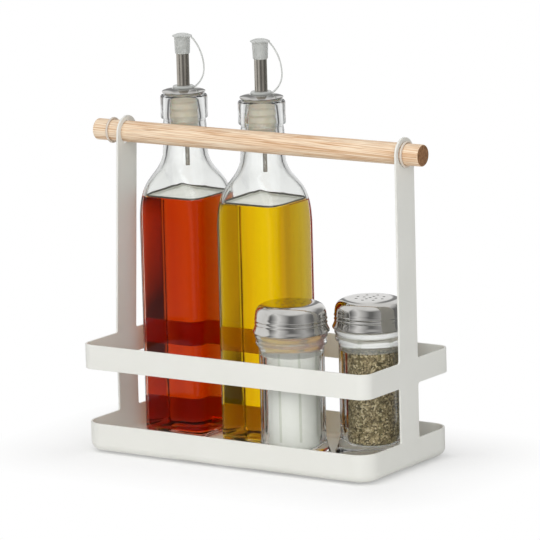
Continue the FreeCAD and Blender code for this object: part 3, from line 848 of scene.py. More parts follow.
# ------------------------------------------------------------------------------------------
# Shaping
# ------------------------------------------------------------------------------------------
class Blank:
    """A mesh in the making, in millimetres."""

    def __init__(self) -> None:
        """Start an empty mesh."""
        self.mesh = bmesh.new()

    @classmethod
    def turned(cls, corners: Sequence[Corner], closed: bool = False, steps: int = 96) -> "Blank":
        """Turn a piece on a lathe.

        Args:
            corners: (radius, height) or (radius, height, rounding) along the profile.
            closed: whether the profile is a loop, as a tube's is.
            steps: how many steps go round.

        Returns:
            The turned piece, about Z.
        """
        blank = cls()
        verts = [blank.mesh.verts.new((corner[0], 0, corner[1])) for corner in corners]
        for pair in zip(verts, verts[1:]):
            blank.mesh.edges.new(pair)
        if closed:
            blank.mesh.edges.new((verts[-1], verts[0]))
        for vert, corner in zip(verts, corners):
            if len(corner) > 2:
                blank.round_over([vert], corner[2], 5, "VERTICES")
        return blank.spin_whole(steps)

    @classmethod
    def raised(cls, angles: Sequence[float], rings: Sequence["Ring"]) -> "Blank":
        """Raise a closed form ring by ring.

        Args:
            angles: where the points stand round the axis, in radians.
            rings: the sections in order; the first and the last are closed to a point.

        Returns:
            The form, about Z.
        """
        blank = cls()
        bmesh.ops.create_circle(blank.mesh, segments=len(angles), radius=1)
        stand = dict(zip(blank.mesh.verts, angles))
        edges = list(blank.mesh.edges)
        rings[0].cast(stand)
        for ring in rings[1:]:
            made = bmesh.ops.extrude_edge_only(blank.mesh, edges=edges)["geom"]
            fresh = [item for item in made if isinstance(item, bmesh.types.BMVert)]
            edges = edges_among(made, set(fresh))
            near = {vert: [edge.other_vert(vert) for edge in vert.link_edges] for vert in fresh}
            below = {vert: next(other for other in near[vert] if other in stand) for vert in fresh}
            stand = {vert: stand[below[vert]] for vert in fresh}
            ring.cast(stand)
        return blank.close()

    def spin_whole(self, steps: int) -> "Blank":
        """Sweep the whole section once round Z, and close the form.

        Args:
            steps: how many steps go round.

        Returns:
            The same blank.
        """
        section = list(self.mesh.verts) + list(self.mesh.edges)
        self.spin(section, (0, 0, 0), (0, 0, 1), FULL_TURN, steps)
        return self.close()

    def spin(self, geometry: list, centre: Point, axis: Point, angle: float, steps: int) -> list:
        """Sweep part of the mesh round an axis.

        Args:
            geometry: what is swept.
            centre: a point on the axis.
            axis: its direction.
            angle: how far, in radians; a full turn is joined up.
            steps: how many steps.

        Returns:
            The last copy of what was swept.
        """
        return bmesh.ops.spin(
            self.mesh,
            geom=geometry,
            cent=centre,
            axis=axis,
            dvec=(0, 0, 0),
            angle=angle,
            steps=steps,
            use_merge=abs(angle) >= FULL_TURN,
            use_normal_flip=False,
            use_duplicate=False,
        )["geom_last"]

    def round_over(
        self, items: list, size: float, steps: int = 2, kind: str = "EDGES"
    ) -> "Blank":
        """Round edges or corners over.

        Args:
            items: the edges or vertices.
            size: how far from them the rounding starts.
            steps: how many flats make it up.
            kind: "EDGES" or "VERTICES".

        Returns:
            The same blank.
        """
        bmesh.ops.bevel(
            self.mesh,
            geom=items,
            offset=size,
            offset_type="OFFSET",
            affect=kind,
            segments=steps,
            profile=0.5,
            material=-1,
            clamp_overlap=True,
        )
        return self

    def sharp_edges(self, angle: float = 50) -> list[bmesh.types.BMEdge]:
        """Find the sharp edges.

        Args:
            angle: the turn between two faces, in degrees, that counts as sharp.

        Returns:
            The edges that turn further.
        """
        limit = math.radians(angle)
        return [
            edge
            for edge in self.mesh.edges
            if edge.is_manifold and edge.calc_face_angle() > limit
        ]

    def close(self, span: float = SAME_POINT) -> "Blank":
        """Merge points that are close together, then turn all faces outwards.

        Args:
            span: how close, in millimetres.

        Returns:
            The same blank.
        """
        bmesh.ops.remove_doubles(self.mesh, verts=self.mesh.verts, dist=span)
        bmesh.ops.recalc_face_normals(self.mesh, faces=self.mesh.faces)
        return self

    def move(self, matrix: Matrix, verts: Optional[list] = None) -> "Blank":
        """Move vertices, or the whole mesh, by a matrix."""
        bmesh.ops.transform(self.mesh, matrix=matrix, verts=verts or list(self.mesh.verts))
        return self

    def ruffle(self, level: float, height: float, size: float) -> "Blank":
        """Make a top surface uneven.

        Args:
            level: the height above which points move.
            height: how far they move.
            size: how wide the lumps are.

        Returns:
            The same blank.
        """
        for vert in self.mesh.verts:
            if vert.co.z > level:
                vert.co.z += height * noise.noise(vert.co / size)
        return self

    def piece(
        self,
        name: str,
        finishes: Sequence[Finish],
        at: Point = (0, 0, 0),
        crease: float = 35.0,
    ) -> bpy.types.Object:
        """Make the object, with its place in its mesh.

        Args:
            name: the piece's name.
            finishes: its materials in slot order.
            at: where its own origin stands, in millimetres.
            crease: the angle in degrees over which an edge stays sharp.

        Returns:
            The object, in metres.
        """
        self.move(Matrix.Scale(MM, 4) @ Matrix.Translation(at))
        data = bpy.data.meshes.new(name)
        self.mesh.to_mesh(data)
        self.mesh.free()
        data.polygons.foreach_set("use_smooth", [True] * len(data.polygons))
        data.set_sharp_from_angle(angle=math.radians(crease))
        for finish in finishes:
            data.materials.append(finish.material())
        made = bpy.data.objects.new(name, data)
        bpy.context.scene.collection.objects.link(made)
        return made


@dataclass(frozen=True)
class Ring:
    """One section of a raised form."""

    level: float
    reach: Section

    def cast(self, stand: dict[bmesh.types.BMVert, float]) -> None:
        """Put points on the section.

        Args:
            stand: each point and where it stands round the axis.
        """
        for vert, angle in stand.items():
            away = self.reach(angle)
            vert.co = Vector((away * math.cos(angle), away * math.sin(angle), self.level))


def round_section(radius: float) -> Section:
    """Give a circle's reach."""
    return lambda angle: radius


def square_section(half: float, corner: float) -> Section:
    """Give a rounded square's reach.

    Args:
        half: half its side.
        corner: its corners' radius.

    Returns:
        The distance from the axis by angle.
    """
    flat = half - corner

    def reach(angle: float) -> float:
        """Give the distance one way.

        Args:
            angle: the way, in radians.

        Returns:
            The distance from the axis.
        """
        near, far = sorted((abs(math.cos(angle)), abs(math.sin(angle))))
        if half * near <= flat * far:
            return half / far
        inside = flat * (near + far)
        return inside + math.sqrt(max(inside * inside - 2 * flat * flat + corner * corner, 0.0))

    return reach


def panel_section(
    radius: float, flat: float, share: float, panels: int, turn: float
) -> Section:
    """Give the reach of a circle with flats.

    Args:
        radius: the circle's radius.
        flat: the flats' distance from the axis.
        share: how far the flats have come in, from 0 to 1.
        panels: how many there are.
        turn: the first one's angle, in radians.

    Returns:
        The distance from the axis by angle.
    """
    pitch = FULL_TURN / panels

    def reach(angle: float) -> float:
        """Give the distance at one angle."""
        off = (angle - turn + pitch / 2) % pitch - pitch / 2
        return radius + (min(radius, flat / math.cos(off)) - radius) * share

    return reach


def curve_point(four: Sequence[float], share: float) -> float:
    """Give a smooth curve's value between the middle two of four drawn values.

    Args:
        four: the drawn values in order.
        share: how far along, from 0 to 1.

    Returns:
        The curve's value.
    """
    a, b, c, d = four
    square = (2 * a - 5 * b + 4 * c - d) * share**2
    cube = (3 * b - a - 3 * c + d) * share**3
    return 0.5 * (2 * b + (c - a) * share + square + cube)


def quarter_round(size: float, steps: int) -> list[tuple[float, float]]:
    """Give how far a quarter round has come up and in at each of its points."""
    angles = [math.pi / 2 * step / steps for step in range(steps + 1)]
    return [(size * (1 - math.cos(angle)), size * (1 - math.sin(angle))) for angle in angles]


def poles(level: float, *radii: float) -> list[Ring]:
    """Give round sections at one level."""
    return [Ring(level, round_section(radius)) for radius in radii]


def round_rings(rows: Sequence[tuple[float, float]]) -> list[Ring]:
    """Give round sections from rows of level and radius."""
    return [Ring(level, round_section(radius)) for level, radius in rows]


def edges_among(made: Sequence, verts: set) -> list[bmesh.types.BMEdge]:
    """Pick out the edges that lie between some vertices.

    Args:
        made: what an operator gave back.
        verts: the vertices.

    Returns:
        The edges.
    """
    return [
        item for item in made if isinstance(item, bmesh.types.BMEdge) and set(item.verts) <= verts
    ]


def lies_at(edge: bmesh.types.BMEdge, level: float) -> bool:
    """Tell whether an edge lies at a level."""
    return all(abs(vert.co.z - level) < AT_LEVEL for vert in edge.verts)


def issue(piece: bpy.types.Object, body: str, nodes: Sequence[str], slot: str) -> None:
    """Hide the nodes that a piece stands for, and hang it on its body.

    Args:
        piece: the finished object.
        body: the body it rides on.
        nodes: the nodes that it stands for, if any.
        slot: not used.
    """
    if nodes:
        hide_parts(*nodes)
    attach(piece, body)
    LOG.info("%s: %d faces, on %s", piece.name, len(piece.data.polygons), body)


# ------------------------------------------------------------------------------------------
# Rack and handle
# ------------------------------------------------------------------------------------------
@dataclass
class Rack:
    """The welded and painted rack: pan, rail, two uprights with eyes, and four pads."""

    steel: float = 1.5
    length: float = 236.0
    width: float = 110.0
    base: float = 1.5
    pan_top: float = 21.5
    pan_corner: float = 14.5
    pan_bend: float = 6.0
    rail_base: float = 60.0
    rail_top: float = 77.3
    rail_corner: float = 9.0
    upright: float = 23.0
    fillet: float = 1.9
    lean_level: float = 79.3
    lean: float = 2.3
    eye_level: float = 220.0
    eye_bore: float = 8.0
    strip_level: float = 150.0
    edge_round: float = 0.28
    pad_radius: float = 5.0
    pad_inset: float = 20.0

    def tub(self, blank: Blank, low: float, high: float, corner: float, bend: float) -> None:
        """Add a rounded box without its top; without its floor too where it has no bend.

        Args:
            blank: where it is added.
            low: its lower level.
            high: its upper level.
            corner: its upright edges' radius.
            bend: its lower edge's radius.
        """
        mesh = blank.mesh
        size = Matrix.Diagonal((self.length, self.width, high - low, 1))
        place = Matrix.Translation((0, 0, (low + high) / 2)) @ size
        verts = bmesh.ops.create_cube(mesh, size=1, matrix=place)["verts"]
        edges = {edge for vert in verts for edge in vert.link_edges}
        upright = [edge for edge in edges if abs(edge.verts[0].co.z - edge.verts[1].co.z) > 1]
        blank.round_over(upright, corner, 10)
        if bend:
            lower = [edge for edge in blank.sharp_edges() if lies_at(edge, low)]
            blank.round_over(lower, bend, 6)
        ends = [
            face
            for face in mesh.faces
            if (face.normal.z > 0.99 or (face.normal.z < -0.99 and not bend))
            and low - 1 < face.calc_center_median().z < high + 1
        ]
        bmesh.ops.delete(mesh, geom=ends, context="FACES")

    def eye(self, blank: Blank, x: float) -> set[float]:
        """Add an upright's eye and its strip down to the rail.

        Args:
            blank: where they are added.
            x: the outer face's place.

        Returns:
            Where across the strip its points stand.
        """
        mesh = blank.mesh
        half = self.upright / 2
        centre = Vector((x, 0, self.eye_level))
        place = Matrix.Translation(centre) @ Matrix.Rotation(math.pi / 2, 4, "Y")
        bore = bmesh.ops.create_circle(
            mesh, segments=48, radius=self.eye_bore, matrix=place
        )
        edges = list({edge for vert in bore["verts"] for edge in vert.link_edges})
        made = bmesh.ops.extrude_edge_only(mesh, edges=edges)["geom"]
        rim = [item for item in made if isinstance(item, bmesh.types.BMVert)]
        for vert in rim:
            away = vert.co - centre
            span = away.length if away.z > -0.01 else max(abs(away.y), abs(away.z))
            vert.co = centre + away * (half / span)
        bottom = self.eye_level - half
        around = {edge for vert in rim for edge in vert.link_edges}
        foot = [edge for edge in around if lies_at(edge, bottom)]
        places = {round(vert.co.y, 4) for edge in foot for vert in edge.verts}
        for level in (self.strip_level, self.lean_level, self.rail_top):
            foot = self.drop(blank, foot, level)
        return places

    @staticmethod
    def drop(blank: Blank, edges: list, level: float) -> list:
        """Pull a row of edges down to a level.

        Args:
            blank: the mesh that they are in.
            edges: the row.
            level: where the new row lies.

        Returns:
            The new row.
        """
        made = bmesh.ops.extrude_edge_only(blank.mesh, edges=edges)["geom"]
        fresh = {item for item in made if isinstance(item, bmesh.types.BMVert)}
        for vert in fresh:
            vert.co.z = level
        return edges_among(made, fresh)

    def build(self) -> None:
        """Build the rack in one welded piece, and its pads."""
        blank = Blank()
        mesh = blank.mesh
        self.tub(blank, self.base, self.pan_top, self.pan_corner, self.pan_bend)
        self.tub(blank, self.rail_base, self.rail_top, self.rail_corner, 0)
        skin = Blank()
        places = {place for sign in (-1, 1) for place in self.eye(skin, sign * self.length / 2)}
        for place in sorted(places):
            geometry = list(mesh.verts) + list(mesh.edges) + list(mesh.faces)
            bmesh.ops.bisect_plane(
                mesh, geom=geometry, dist=0.0001, plane_co=(0, place, 0), plane_no=(0, 1, 0)
            )
        half = self.upright / 2
        lower = [
            edge
            for edge in mesh.edges
            if lies_at(edge, self.rail_base)
            and all(
                abs(abs(vert.co.x) - self.length / 2) < AT_LEVEL
                and abs(vert.co.y) < half + AT_LEVEL
                for vert in edge.verts
            )
        ]
        self.drop(blank, lower, self.pan_top)
        carried = bpy.data.meshes.new("skin")
        skin.mesh.to_mesh(carried)
        mesh.from_mesh(carried)
        bpy.data.meshes.remove(carried)
        blank.close(AT_LEVEL)
        middle = Vector((0, 0, (self.pan_top + self.rail_base) / 2))
        outward = sum(
            face.normal.dot(face.calc_center_median() - middle) * face.calc_area()
            for face in mesh.faces
        )
        if outward < 0:
            bmesh.ops.reverse_faces(mesh, faces=mesh.faces)
        bend = self.lean_level + 0.1
        leaning = [vert for vert in mesh.verts if vert.co.x < 0 and vert.co.z > bend]
        pivot = Matrix.Translation((-self.length / 2, 0, self.lean_level))
        turn = Matrix.Rotation(math.radians(self.lean), 4, "Y")
        blank.move(pivot @ turn @ pivot.inverted(), leaning)
        bmesh.ops.solidify(mesh, geom=list(mesh.faces), thickness=self.steel)
        levels = (self.pan_top, self.rail_base, self.rail_top)
        nooks = [
            edge
            for edge in mesh.edges
            if edge.calc_length() < self.steel * 1.2
            and all(
                abs(abs(vert.co.y) - half) < 0.05
                and min(abs(vert.co.z - level) for level in levels) < 0.05
                for vert in edge.verts
            )
        ]
        blank.round_over(nooks, self.fillet, 5)
        blank.round_over(blank.sharp_edges(), self.edge_round)
        body = blank.piece("rack_body", [PAINT])
        body.modifiers.new("even", "WEIGHTED_NORMAL").keep_sharp = True
        nodes = ["tray_pan", "side_frame_left", "side_frame_right", "rail_front", "rail_back"]
        issue(body, "rack", nodes, "white_paint")
        self.build_pads()

    def build_pads(self) -> None:
        """Turn the four pads, each with a shallow dish underneath."""
        radius, top = self.pad_radius, self.base
        dish = [(0, 0.35), (radius * 0.6, 0.25), (radius * 0.75, 0)]
        corners = dish + [(radius, 0, 0.4), (radius, top), (0, top)]
        for across, sign_y in (("front", -1), ("back", 1)):
            for along, sign_x in (("left", -1), ("right", 1)):
                x = sign_x * (self.length / 2 - self.pad_inset)
                y = sign_y * (self.width / 2 - self.pad_inset)
                name = "pad_" + across + "_" + along
                pad = Blank.turned(corners, steps=40).piece(name, [RING_PLASTIC], (x, y, 0))
                issue(pad, "rack", ["foot_" + name], "clear_rubber")


@dataclass
class Handle:
    """The ash dowel and the two rings that hold it in the eyes."""

    level: float = 220.0
    radius: float = 7.5
    start: float = -135.65
    length: float = 268.2
    ring_places: tuple[float, float] = (-122.85, 119.75)
    ring_radius: float = 8.36
    ring_tube: float = 0.8
    chamfer: float = 0.9
    sawn: float = 0.25

    def build(self) -> None:
        """Turn the dowel and the rings, and lay them along X."""
        lie = Matrix.Rotation(math.pi / 2, 4, "Y")
        radius, length, chamfer = self.radius, self.length, self.chamfer
        corners = [(0, 0), (radius, 0, chamfer), (radius, length, chamfer), (0, length)]
        ends = (self.start + self.sawn) * MM, (self.start + length - self.sawn) * MM
        wood = AshWood("ash_wood", start=ends[0], end=ends[1])
        dowel = Blank.turned(corners).move(lie).piece("dowel", [wood], (self.start, 0, self.level))
        issue(dowel, "handle", ["handle_dowel"], "ash_wood")
        for side, x in zip(("left", "right"), self.ring_places):
            blank = Blank()
            away = Matrix.Translation((self.ring_radius, 0, 0))
            place = away @ Matrix.Rotation(math.pi / 2, 4, "X")
            bmesh.ops.create_circle(blank.mesh, segments=16, radius=self.ring_tube, matrix=place)
            blank = blank.spin_whole(72).move(lie)
            ring = blank.piece("ring_" + side, [RING_PLASTIC], (x, 0, self.level), 80)
            issue(ring, "handle_rings", ["handle_ring_" + side], "clear_rubber")


# ------------------------------------------------------------------------------------------
# Bottles
# ------------------------------------------------------------------------------------------
@dataclass
class Bottle:
    """A square pourer bottle: glass, liquid and the stopper with its cap."""

    kind: str
    x: float
    liquid: Liquid
    wetted: WettedGlass
    filled: ClearGlass
    y: float = 26.8
    base: float = 3.0
    half: float = 26.0
    corner: float = 7.0
    heel: float = 4.5
    wall: float = 2.8
    floor: float = 4.5
    inner_heel: float = 2.5
    shoulder: float = 148.5
    rise: float = 50.0
    neck: float = 16.0
    waist: float = 15.4
    waist_level: float = 206.0
    groove_top: float = 220.0
    groove: float = 14.8
    groove_level: float = 223.5
    finish: float = 16.55
    finish_base: float = 225.2
    mouth: float = 241.5
    bore: float = 10.2
    bore_depth: float = 26.0
    lip: float = 1.8
    tint_level: float = 8.0
    fill: float = 170.8
    film: float = 0.06
    tube: float = 4.5
    tube_wall: float = 0.4
    tube_height: float = 35.7
    air_tube: float = 1.55
    air_offset: float = 2.5
    air_drop: float = 51.0
    plug: float = 9.2
    plug_length: float = 28.0
    plug_ribs: int = 5
    rib_pitch: float = 5.0
    flange: float = 13.2
    flange_height: float = 1.6
    disc: float = 15.3
    disc_rise: float = 2.8
    collar: float = 7.6
    collar_height: float = 1.8
    cap_depth: float = 11.9
    cap_wall: float = 1.15
    cap_rim: float = 6.9
    strap_turn: float = 33.0
    strap_reach: float = 14.2
    strap_bow: float = 12.6
    strap_width: float = 2.6
    strap_thickness: float = 1.0

    # The shoulder: how far up, the share of the side left, and how round the corners are.
    SECTIONS = (
        (0.00, 1.000, 0.00),
        (0.18, 0.992, 0.01),
        (0.36, 0.955, 0.06),
        (0.50, 0.870, 0.15),
        (0.60, 0.760, 0.26),
        (0.68, 0.620, 0.42),
        (0.75, 0.465, 0.59),
        (0.81, 0.320, 0.74),
        (0.87, 0.195, 0.85),
        (0.93, 0.090, 0.94),
        (1.00, 0.000, 1.00),
    )

    @property
    def at(self) -> Point:
        """Where the bottle's own origin stands."""
        return (self.x, self.y, self.base)

    @property
    def dome(self) -> float:
        """The level of the steel disc's flat middle, where the collar sits."""
        return self.mouth + self.flange_height + self.disc_rise

    @property
    def tip(self) -> float:
        """The level of the pour tube's end."""
        return self.dome + self.tube_height

    @staticmethod
    def angles() -> list[float]:
        """Give where points stand round a bottle: closer together at its four corners.

        Returns:
            Their angles in order, in radians.
        """
        steps = (1.5, 4.4, 7.3, 9.8, 13, 17, 21, 26, 31, 36, 40.5)
        quarter = [-45.0] + [-step for step in reversed(steps)] + list(steps)
        return [math.radians(45 + 90 * turn + step) for turn in range(4) for step in quarter]

    def shoulder_rings(self, inset: float) -> list[Ring]:
        """Give the shoulder's sections, smoothed between the drawn ones.

        Args:
            inset: how far inside the outer surface.

        Returns:
            The sections from the bottom up.
        """
        neck = self.neck - inset
        rows = self.SECTIONS
        rings = []
        for index in range(len(rows) - 1):
            before = rows[max(index - 1, 0)]
            after = rows[min(index + 2, len(rows) - 1)]
            for step in range(4):
                t = step / 4
                drawn = zip(before, rows[index], rows[index + 1], after)
                rise, side, turn = (curve_point(four, t) for four in drawn)
                half = neck + (self.half - inset - neck) * side
                corner = self.corner - inset
                corner += (half - corner) * min(turn, 1.0)
                rings.append(Ring(self.shoulder + self.rise * rise, square_section(half, corner)))
        return rings

    def outer_rings(self) -> list[Ring]:
        """Draw the outside.

        Returns:
            Its sections from the underside's middle up to the lip.
        """
        rings = round_rings([(1.4, POLE), (1.3, 8)])
        rings += [Ring(1.0, square_section(15, 6)), Ring(0.25, square_section(19.5, 4))]
        for up, back in quarter_round(self.heel, 6):
            rings.append(Ring(up, square_section(self.half - back, self.corner - back)))
        side = square_section(self.half, self.corner)
        rings += [Ring(level, side) for level in (20, 50, 80, 110, 135)]
        rings += self.shoulder_rings(0)
        rings += round_rings([
            (self.shoulder + self.rise, self.neck),
            (self.waist_level, self.waist + 0.05),
            (self.groove_top - 4, self.waist),
            (self.groove_top, self.waist - 0.05),
            (self.groove_level - 1, self.groove + 0.15),
            (self.groove_level, self.groove),
            (self.groove_level + 0.7, self.groove + 0.35),
            (self.finish_base - 0.2, self.finish - 0.35),
            (self.finish_base + 0.5, self.finish),
            (self.mouth - 9, self.finish),
        ])
        lip = quarter_round(self.lip, 5)
        return rings + round_rings([(self.mouth - down, self.finish - back) for back, down in lip])

    def inner_rings(self) -> list[Ring]:
        """Draw the inside.

        Returns:
            Its sections from the floor's middle up to the lip.
        """
        inside = self.half - self.wall
        corner = self.corner - self.wall
        rings = poles(self.floor, POLE, 12)
        for up, back in quarter_round(self.inner_heel, 5):
            rings.append(Ring(self.floor + up, square_section(inside - back, corner - back)))
        rings += [Ring(level, square_section(inside, corner)) for level in (25, 60, 100, 135)]
        rings += self.shoulder_rings(self.wall)
        return rings + round_rings([
            (self.shoulder + self.rise, self.neck - self.wall),
            (205, 12.1),
            (self.mouth - self.bore_depth, self.bore + 0.2),
            (self.mouth - self.bore_depth + 2, self.bore),
            (self.mouth - 0.9, self.bore),
            (self.mouth - 0.25, self.bore + 0.3),
            (self.mouth, self.bore + 1.0),
        ])

    def build_glass(self) -> None:
        """Blow the glass, and set its wetted wall apart from the dry one."""
        rings = self.outer_rings() + list(reversed(self.inner_rings()))
        blank = Blank.raised(self.angles(), rings)
        # The outer wall in front of the liquid takes the filled glass, whose edges darken to the
        # liquid's colour: painted shade.
        for face in blank.mesh.faces:
            middle = face.calc_center_median()
            on_floor = face.normal.z > 0.5 and abs(middle.z - self.floor) < 1
            inward = on_floor or face.normal.dot(Vector((middle.x, middle.y, 0))) < 0
            if inward and self.floor - 0.1 < middle.z < self.fill:
                face.material_index = 1
            elif not inward and self.tint_level < middle.z < self.fill:
                face.material_index = 2
        glass = blank.piece(self.kind + "_glass", [GLASS, self.wetted, self.filled], self.at, 60)
        issue(glass, self.kind + "_bottle", [self.kind + "_bottle_glass"], "bottle_glass")

    def build_liquid(self) -> None:
        """Fill the bottle to its level, with the liquid drawn up a little at the glass."""
        rings = [ring for ring in self.inner_rings() if ring.level < self.fill - 1.5]
        top = rings[-1]
        last = next(ring for ring in self.inner_rings() if ring.level > self.fill)
        share = (self.fill - top.level) / (last.level - top.level)

        def brink(angle: float) -> float:
            """Give the inner wall's reach at the liquid's level."""
            return top.reach(angle) + (last.reach(angle) - top.reach(angle)) * share

        def shrunk(reach: Section, size: float) -> Section:
            """Give a section a little smaller."""
            return lambda angle: max(reach(angle) - size, POLE)

        rings = [
            Ring(
                ring.level + (self.film if ring.level < self.floor + 1 else 0),
                shrunk(ring.reach, self.film),
            )
            for ring in rings
        ]
        for down, back in ((0, self.film), (0.45, 0.5), (0.75, 1.3), (0.9, 3)):
            rings.append(Ring(self.fill - down, shrunk(brink, back)))
        blank = Blank.raised(self.angles(), rings + poles(self.fill - 0.9, 8, POLE))
        liquid = blank.piece(self.kind + "_contents", [self.liquid], self.at, 60)
        issue(liquid, self.kind + "_bottle", [self.kind + "_liquid"], self.kind + "_liquid")
        self.build_film(brink)

    def build_film(self, brink: Section) -> None:
        """Lay the liquid's skin, dished like the liquid under it: painted reflection in pale grey,
        with painted shade in a dark ring at the glass.

        Args:
            brink: the inner wall's reach at the liquid's level.
        """
        thick = 0.08
        rows = ((0.95, 0.3), (0.2, 0.42), (-0.3, 0.9), (-0.55, 1.6), (-0.7, 3.2))
        upper = [
            Ring(self.fill + up, lambda angle, back=back: brink(angle) - back) for up, back in rows
        ]
        lower = [
            Ring(ring.level - thick, lambda angle, ring=ring: ring.reach(angle) + thick)
            for ring in upper
        ]
        under, over = poles(upper[-1].level - thick, POLE), poles(upper[-1].level, POLE)
        blank = Blank.raised(self.angles(), under + lower[::-1] + upper + over)
        # The ring that climbs the glass takes the painted dark shade; the rest is the painted pale
        # reflection.
        for face in blank.mesh.faces:
            if face.calc_center_median().z > self.fill - 0.15:
                face.material_index = 1
        skin = blank.piece(self.kind + "_surface", [SKIN_REFLECTION, BRINK_SHADE], self.at, 60)
        issue(skin, self.kind + "_bottle", [], self.kind + "_liquid")

    def build_stopper(self) -> None:
        """Turn the plug, the disc and the two tubes."""
        top, tube, plug_radius, dome = self.mouth, self.tube, self.plug, self.dome
        seat = top + self.flange_height
        bottom = top - self.plug_length
        plug = [(tube, bottom), (plug_radius - 1, bottom, 0.5), (plug_radius, bottom + 1, 0.4)]
        for number in range(self.plug_ribs):
            foot = bottom + 2 + self.rib_pitch * number
            plug += [
                (plug_radius + 0.95, foot + 1.75, 0.25),
                (plug_radius, foot + 4.6, 0.4),
                (plug_radius, foot + 5, 0.2),
            ]
        flange = self.flange
        plug += [(plug_radius, top), (flange, top, 0.3), (flange, seat, 0.3), (tube, seat)]
        disc = [
            (tube, seat),
            (self.disc - 0.6, seat, 0.2),
            (self.disc, seat + 0.05, 0.3),
            (self.disc, seat + 0.8, 0.35),
            (12.6, dome - 0.9, 2.0),
            (8.2, dome - 0.05, 0.8),
            (tube, dome),
        ]
        bore, end = tube - self.tube_wall, 0.15
        pour = [(bore, bottom), (tube, bottom, end), (tube, self.tip, end), (bore, self.tip, end)]
        thin, air_end, air_tip = self.air_tube, 0.1, self.tip - 2.5
        air_bore, air_foot = thin - self.tube_wall, top - self.air_drop
        air = [
            (air_bore, air_foot),
            (thin, air_foot, air_end),
            (thin, air_tip, air_end),
            (air_bore, air_tip),
        ]
        behind = (self.x, self.y + self.air_offset, self.base)
        for name, corners, finish, node, slot, at in (
            ("_plug", plug, PLUG_RUBBER, "_stopper_plug", "stopper_rubber", self.at),
            ("_disc", disc, CHROME, "_stopper_disc", "polished_steel", self.at),
            ("_pourer", pour, TUBE_STEEL, "_pour_tube", "tube_steel", self.at),
            ("_breather", air, TUBE_STEEL, "_air_tube", "tube_steel", behind),
        ):
            made = Blank.turned(corners, True).piece(self.kind + name, [finish], at, 42)
            issue(made, self.kind + "_stopper", [self.kind + node], slot)

    def build_cap(self) -> None:
        """Mould the collar, the cap and the strap between them."""
        dome, tube, wide = self.dome, self.tube, self.collar
        brow = dome + self.collar_height
        collar = [
            (tube, dome),
            (wide, dome, 0.3),
            (wide, brow - 0.6, 0.4),
            (wide - 0.7, brow, 0.3),
            (tube, brow),
        ]
        made = Blank.turned(collar, True).piece(self.kind + "_collar", [CAP_PLASTIC], self.at)
        issue(made, self.kind + "_stopper", [self.kind + "_cap_collar"], "soft_plastic")
        bore = tube + 0.05
        roof = self.tip + 0.45
        foot = roof - self.cap_depth
        rim = roof + 0.9
        side = bore + self.cap_wall
        hood = [
            (bore, foot),
            (side - 0.75, foot, 0.2),
            (side - 0.45, foot + 0.8, 0.3),
            (side, rim - 1.0, 0.4),
            (self.cap_rim, rim - 0.6, 0.15),
            (self.cap_rim, rim + 0.05, 0.25),
            (self.cap_rim / 2, rim + 1.36, 1.2),
            (0, rim + 1.7),
            (0, roof),
            (bore, roof, 0.4),
        ]
        made = Blank.turned(hood, True).piece(self.kind + "_hood", [CAP_PLASTIC], self.at)
        issue(made, self.kind + "_cap", [self.kind + "_cap"], "soft_plastic")
        self.build_strap(dome + 0.9, rim - 1.1)

    def build_strap(self, low: float, high: float) -> None:
        """Sweep the strap's flat section round its two bends.

        Args:
            low: where it leaves the collar.
            high: where it meets the cap.
        """
        reach, thick = self.strap_reach, self.strap_thickness
        foot, head = 7.4, 5.7
        belly = low + self.strap_bow
        blank = Blank()
        bends = []
        for inner, rise in ((reach - foot, self.strap_bow), (reach - head, high - belly)):
            radius = (inner * inner + rise * rise) / (inner * 2)
            bends.append((radius, math.atan2(rise, radius - inner)))
        (lower, lower_turn), (upper, upper_turn) = bends
        place = Matrix.Translation((reach - lower, 0, belly)) @ Matrix.Rotation(lower_turn, 4, "Y")
        flat = Matrix.Diagonal((thick, self.strap_width, 1, 1))
        size = Matrix.Translation((lower + thick / 2, 0, 0)) @ flat
        bmesh.ops.create_grid(
            blank.mesh, x_segments=1, y_segments=1, size=0.5, matrix=place @ size
        )
        section = list(blank.mesh.verts) + list(blank.mesh.edges) + list(blank.mesh.faces)
        last = blank.spin(section, (reach - lower, 0, belly), (0, -1, 0), lower_turn, 16)
        blank.spin(last, (reach - upper, 0, belly), (0, -1, 0), upper_turn, 20)
        blank.close()
        blank.round_over(blank.sharp_edges(), 0.22)
        turn = math.radians(self.strap_turn)
        blank.move(Matrix.Rotation(turn, 4, "Z"))
        strap = blank.piece(self.kind + "_strap", [CAP_PLASTIC], self.at, 60)
        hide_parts(self.kind + "_cap_strap")
        across = Vector((reach * math.cos(turn), reach * math.sin(turn), 0))
        ends = [
            tuple((Vector(self.at) + across + Vector((0, 0, level))) * MM)
            for level in (low + 1.5, high - 1.5)
        ]
        self.kind + "_stopper"
        self.kind + "_cap"
        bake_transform(strap)
        LOG.info("%s: %d faces, bends with the cap", strap.name, len(strap.data.polygons))

    def build(self) -> None:
        """Build the bottle's pieces."""
        self.build_glass()
        self.build_liquid()
        self.build_stopper()
        self.build_cap()


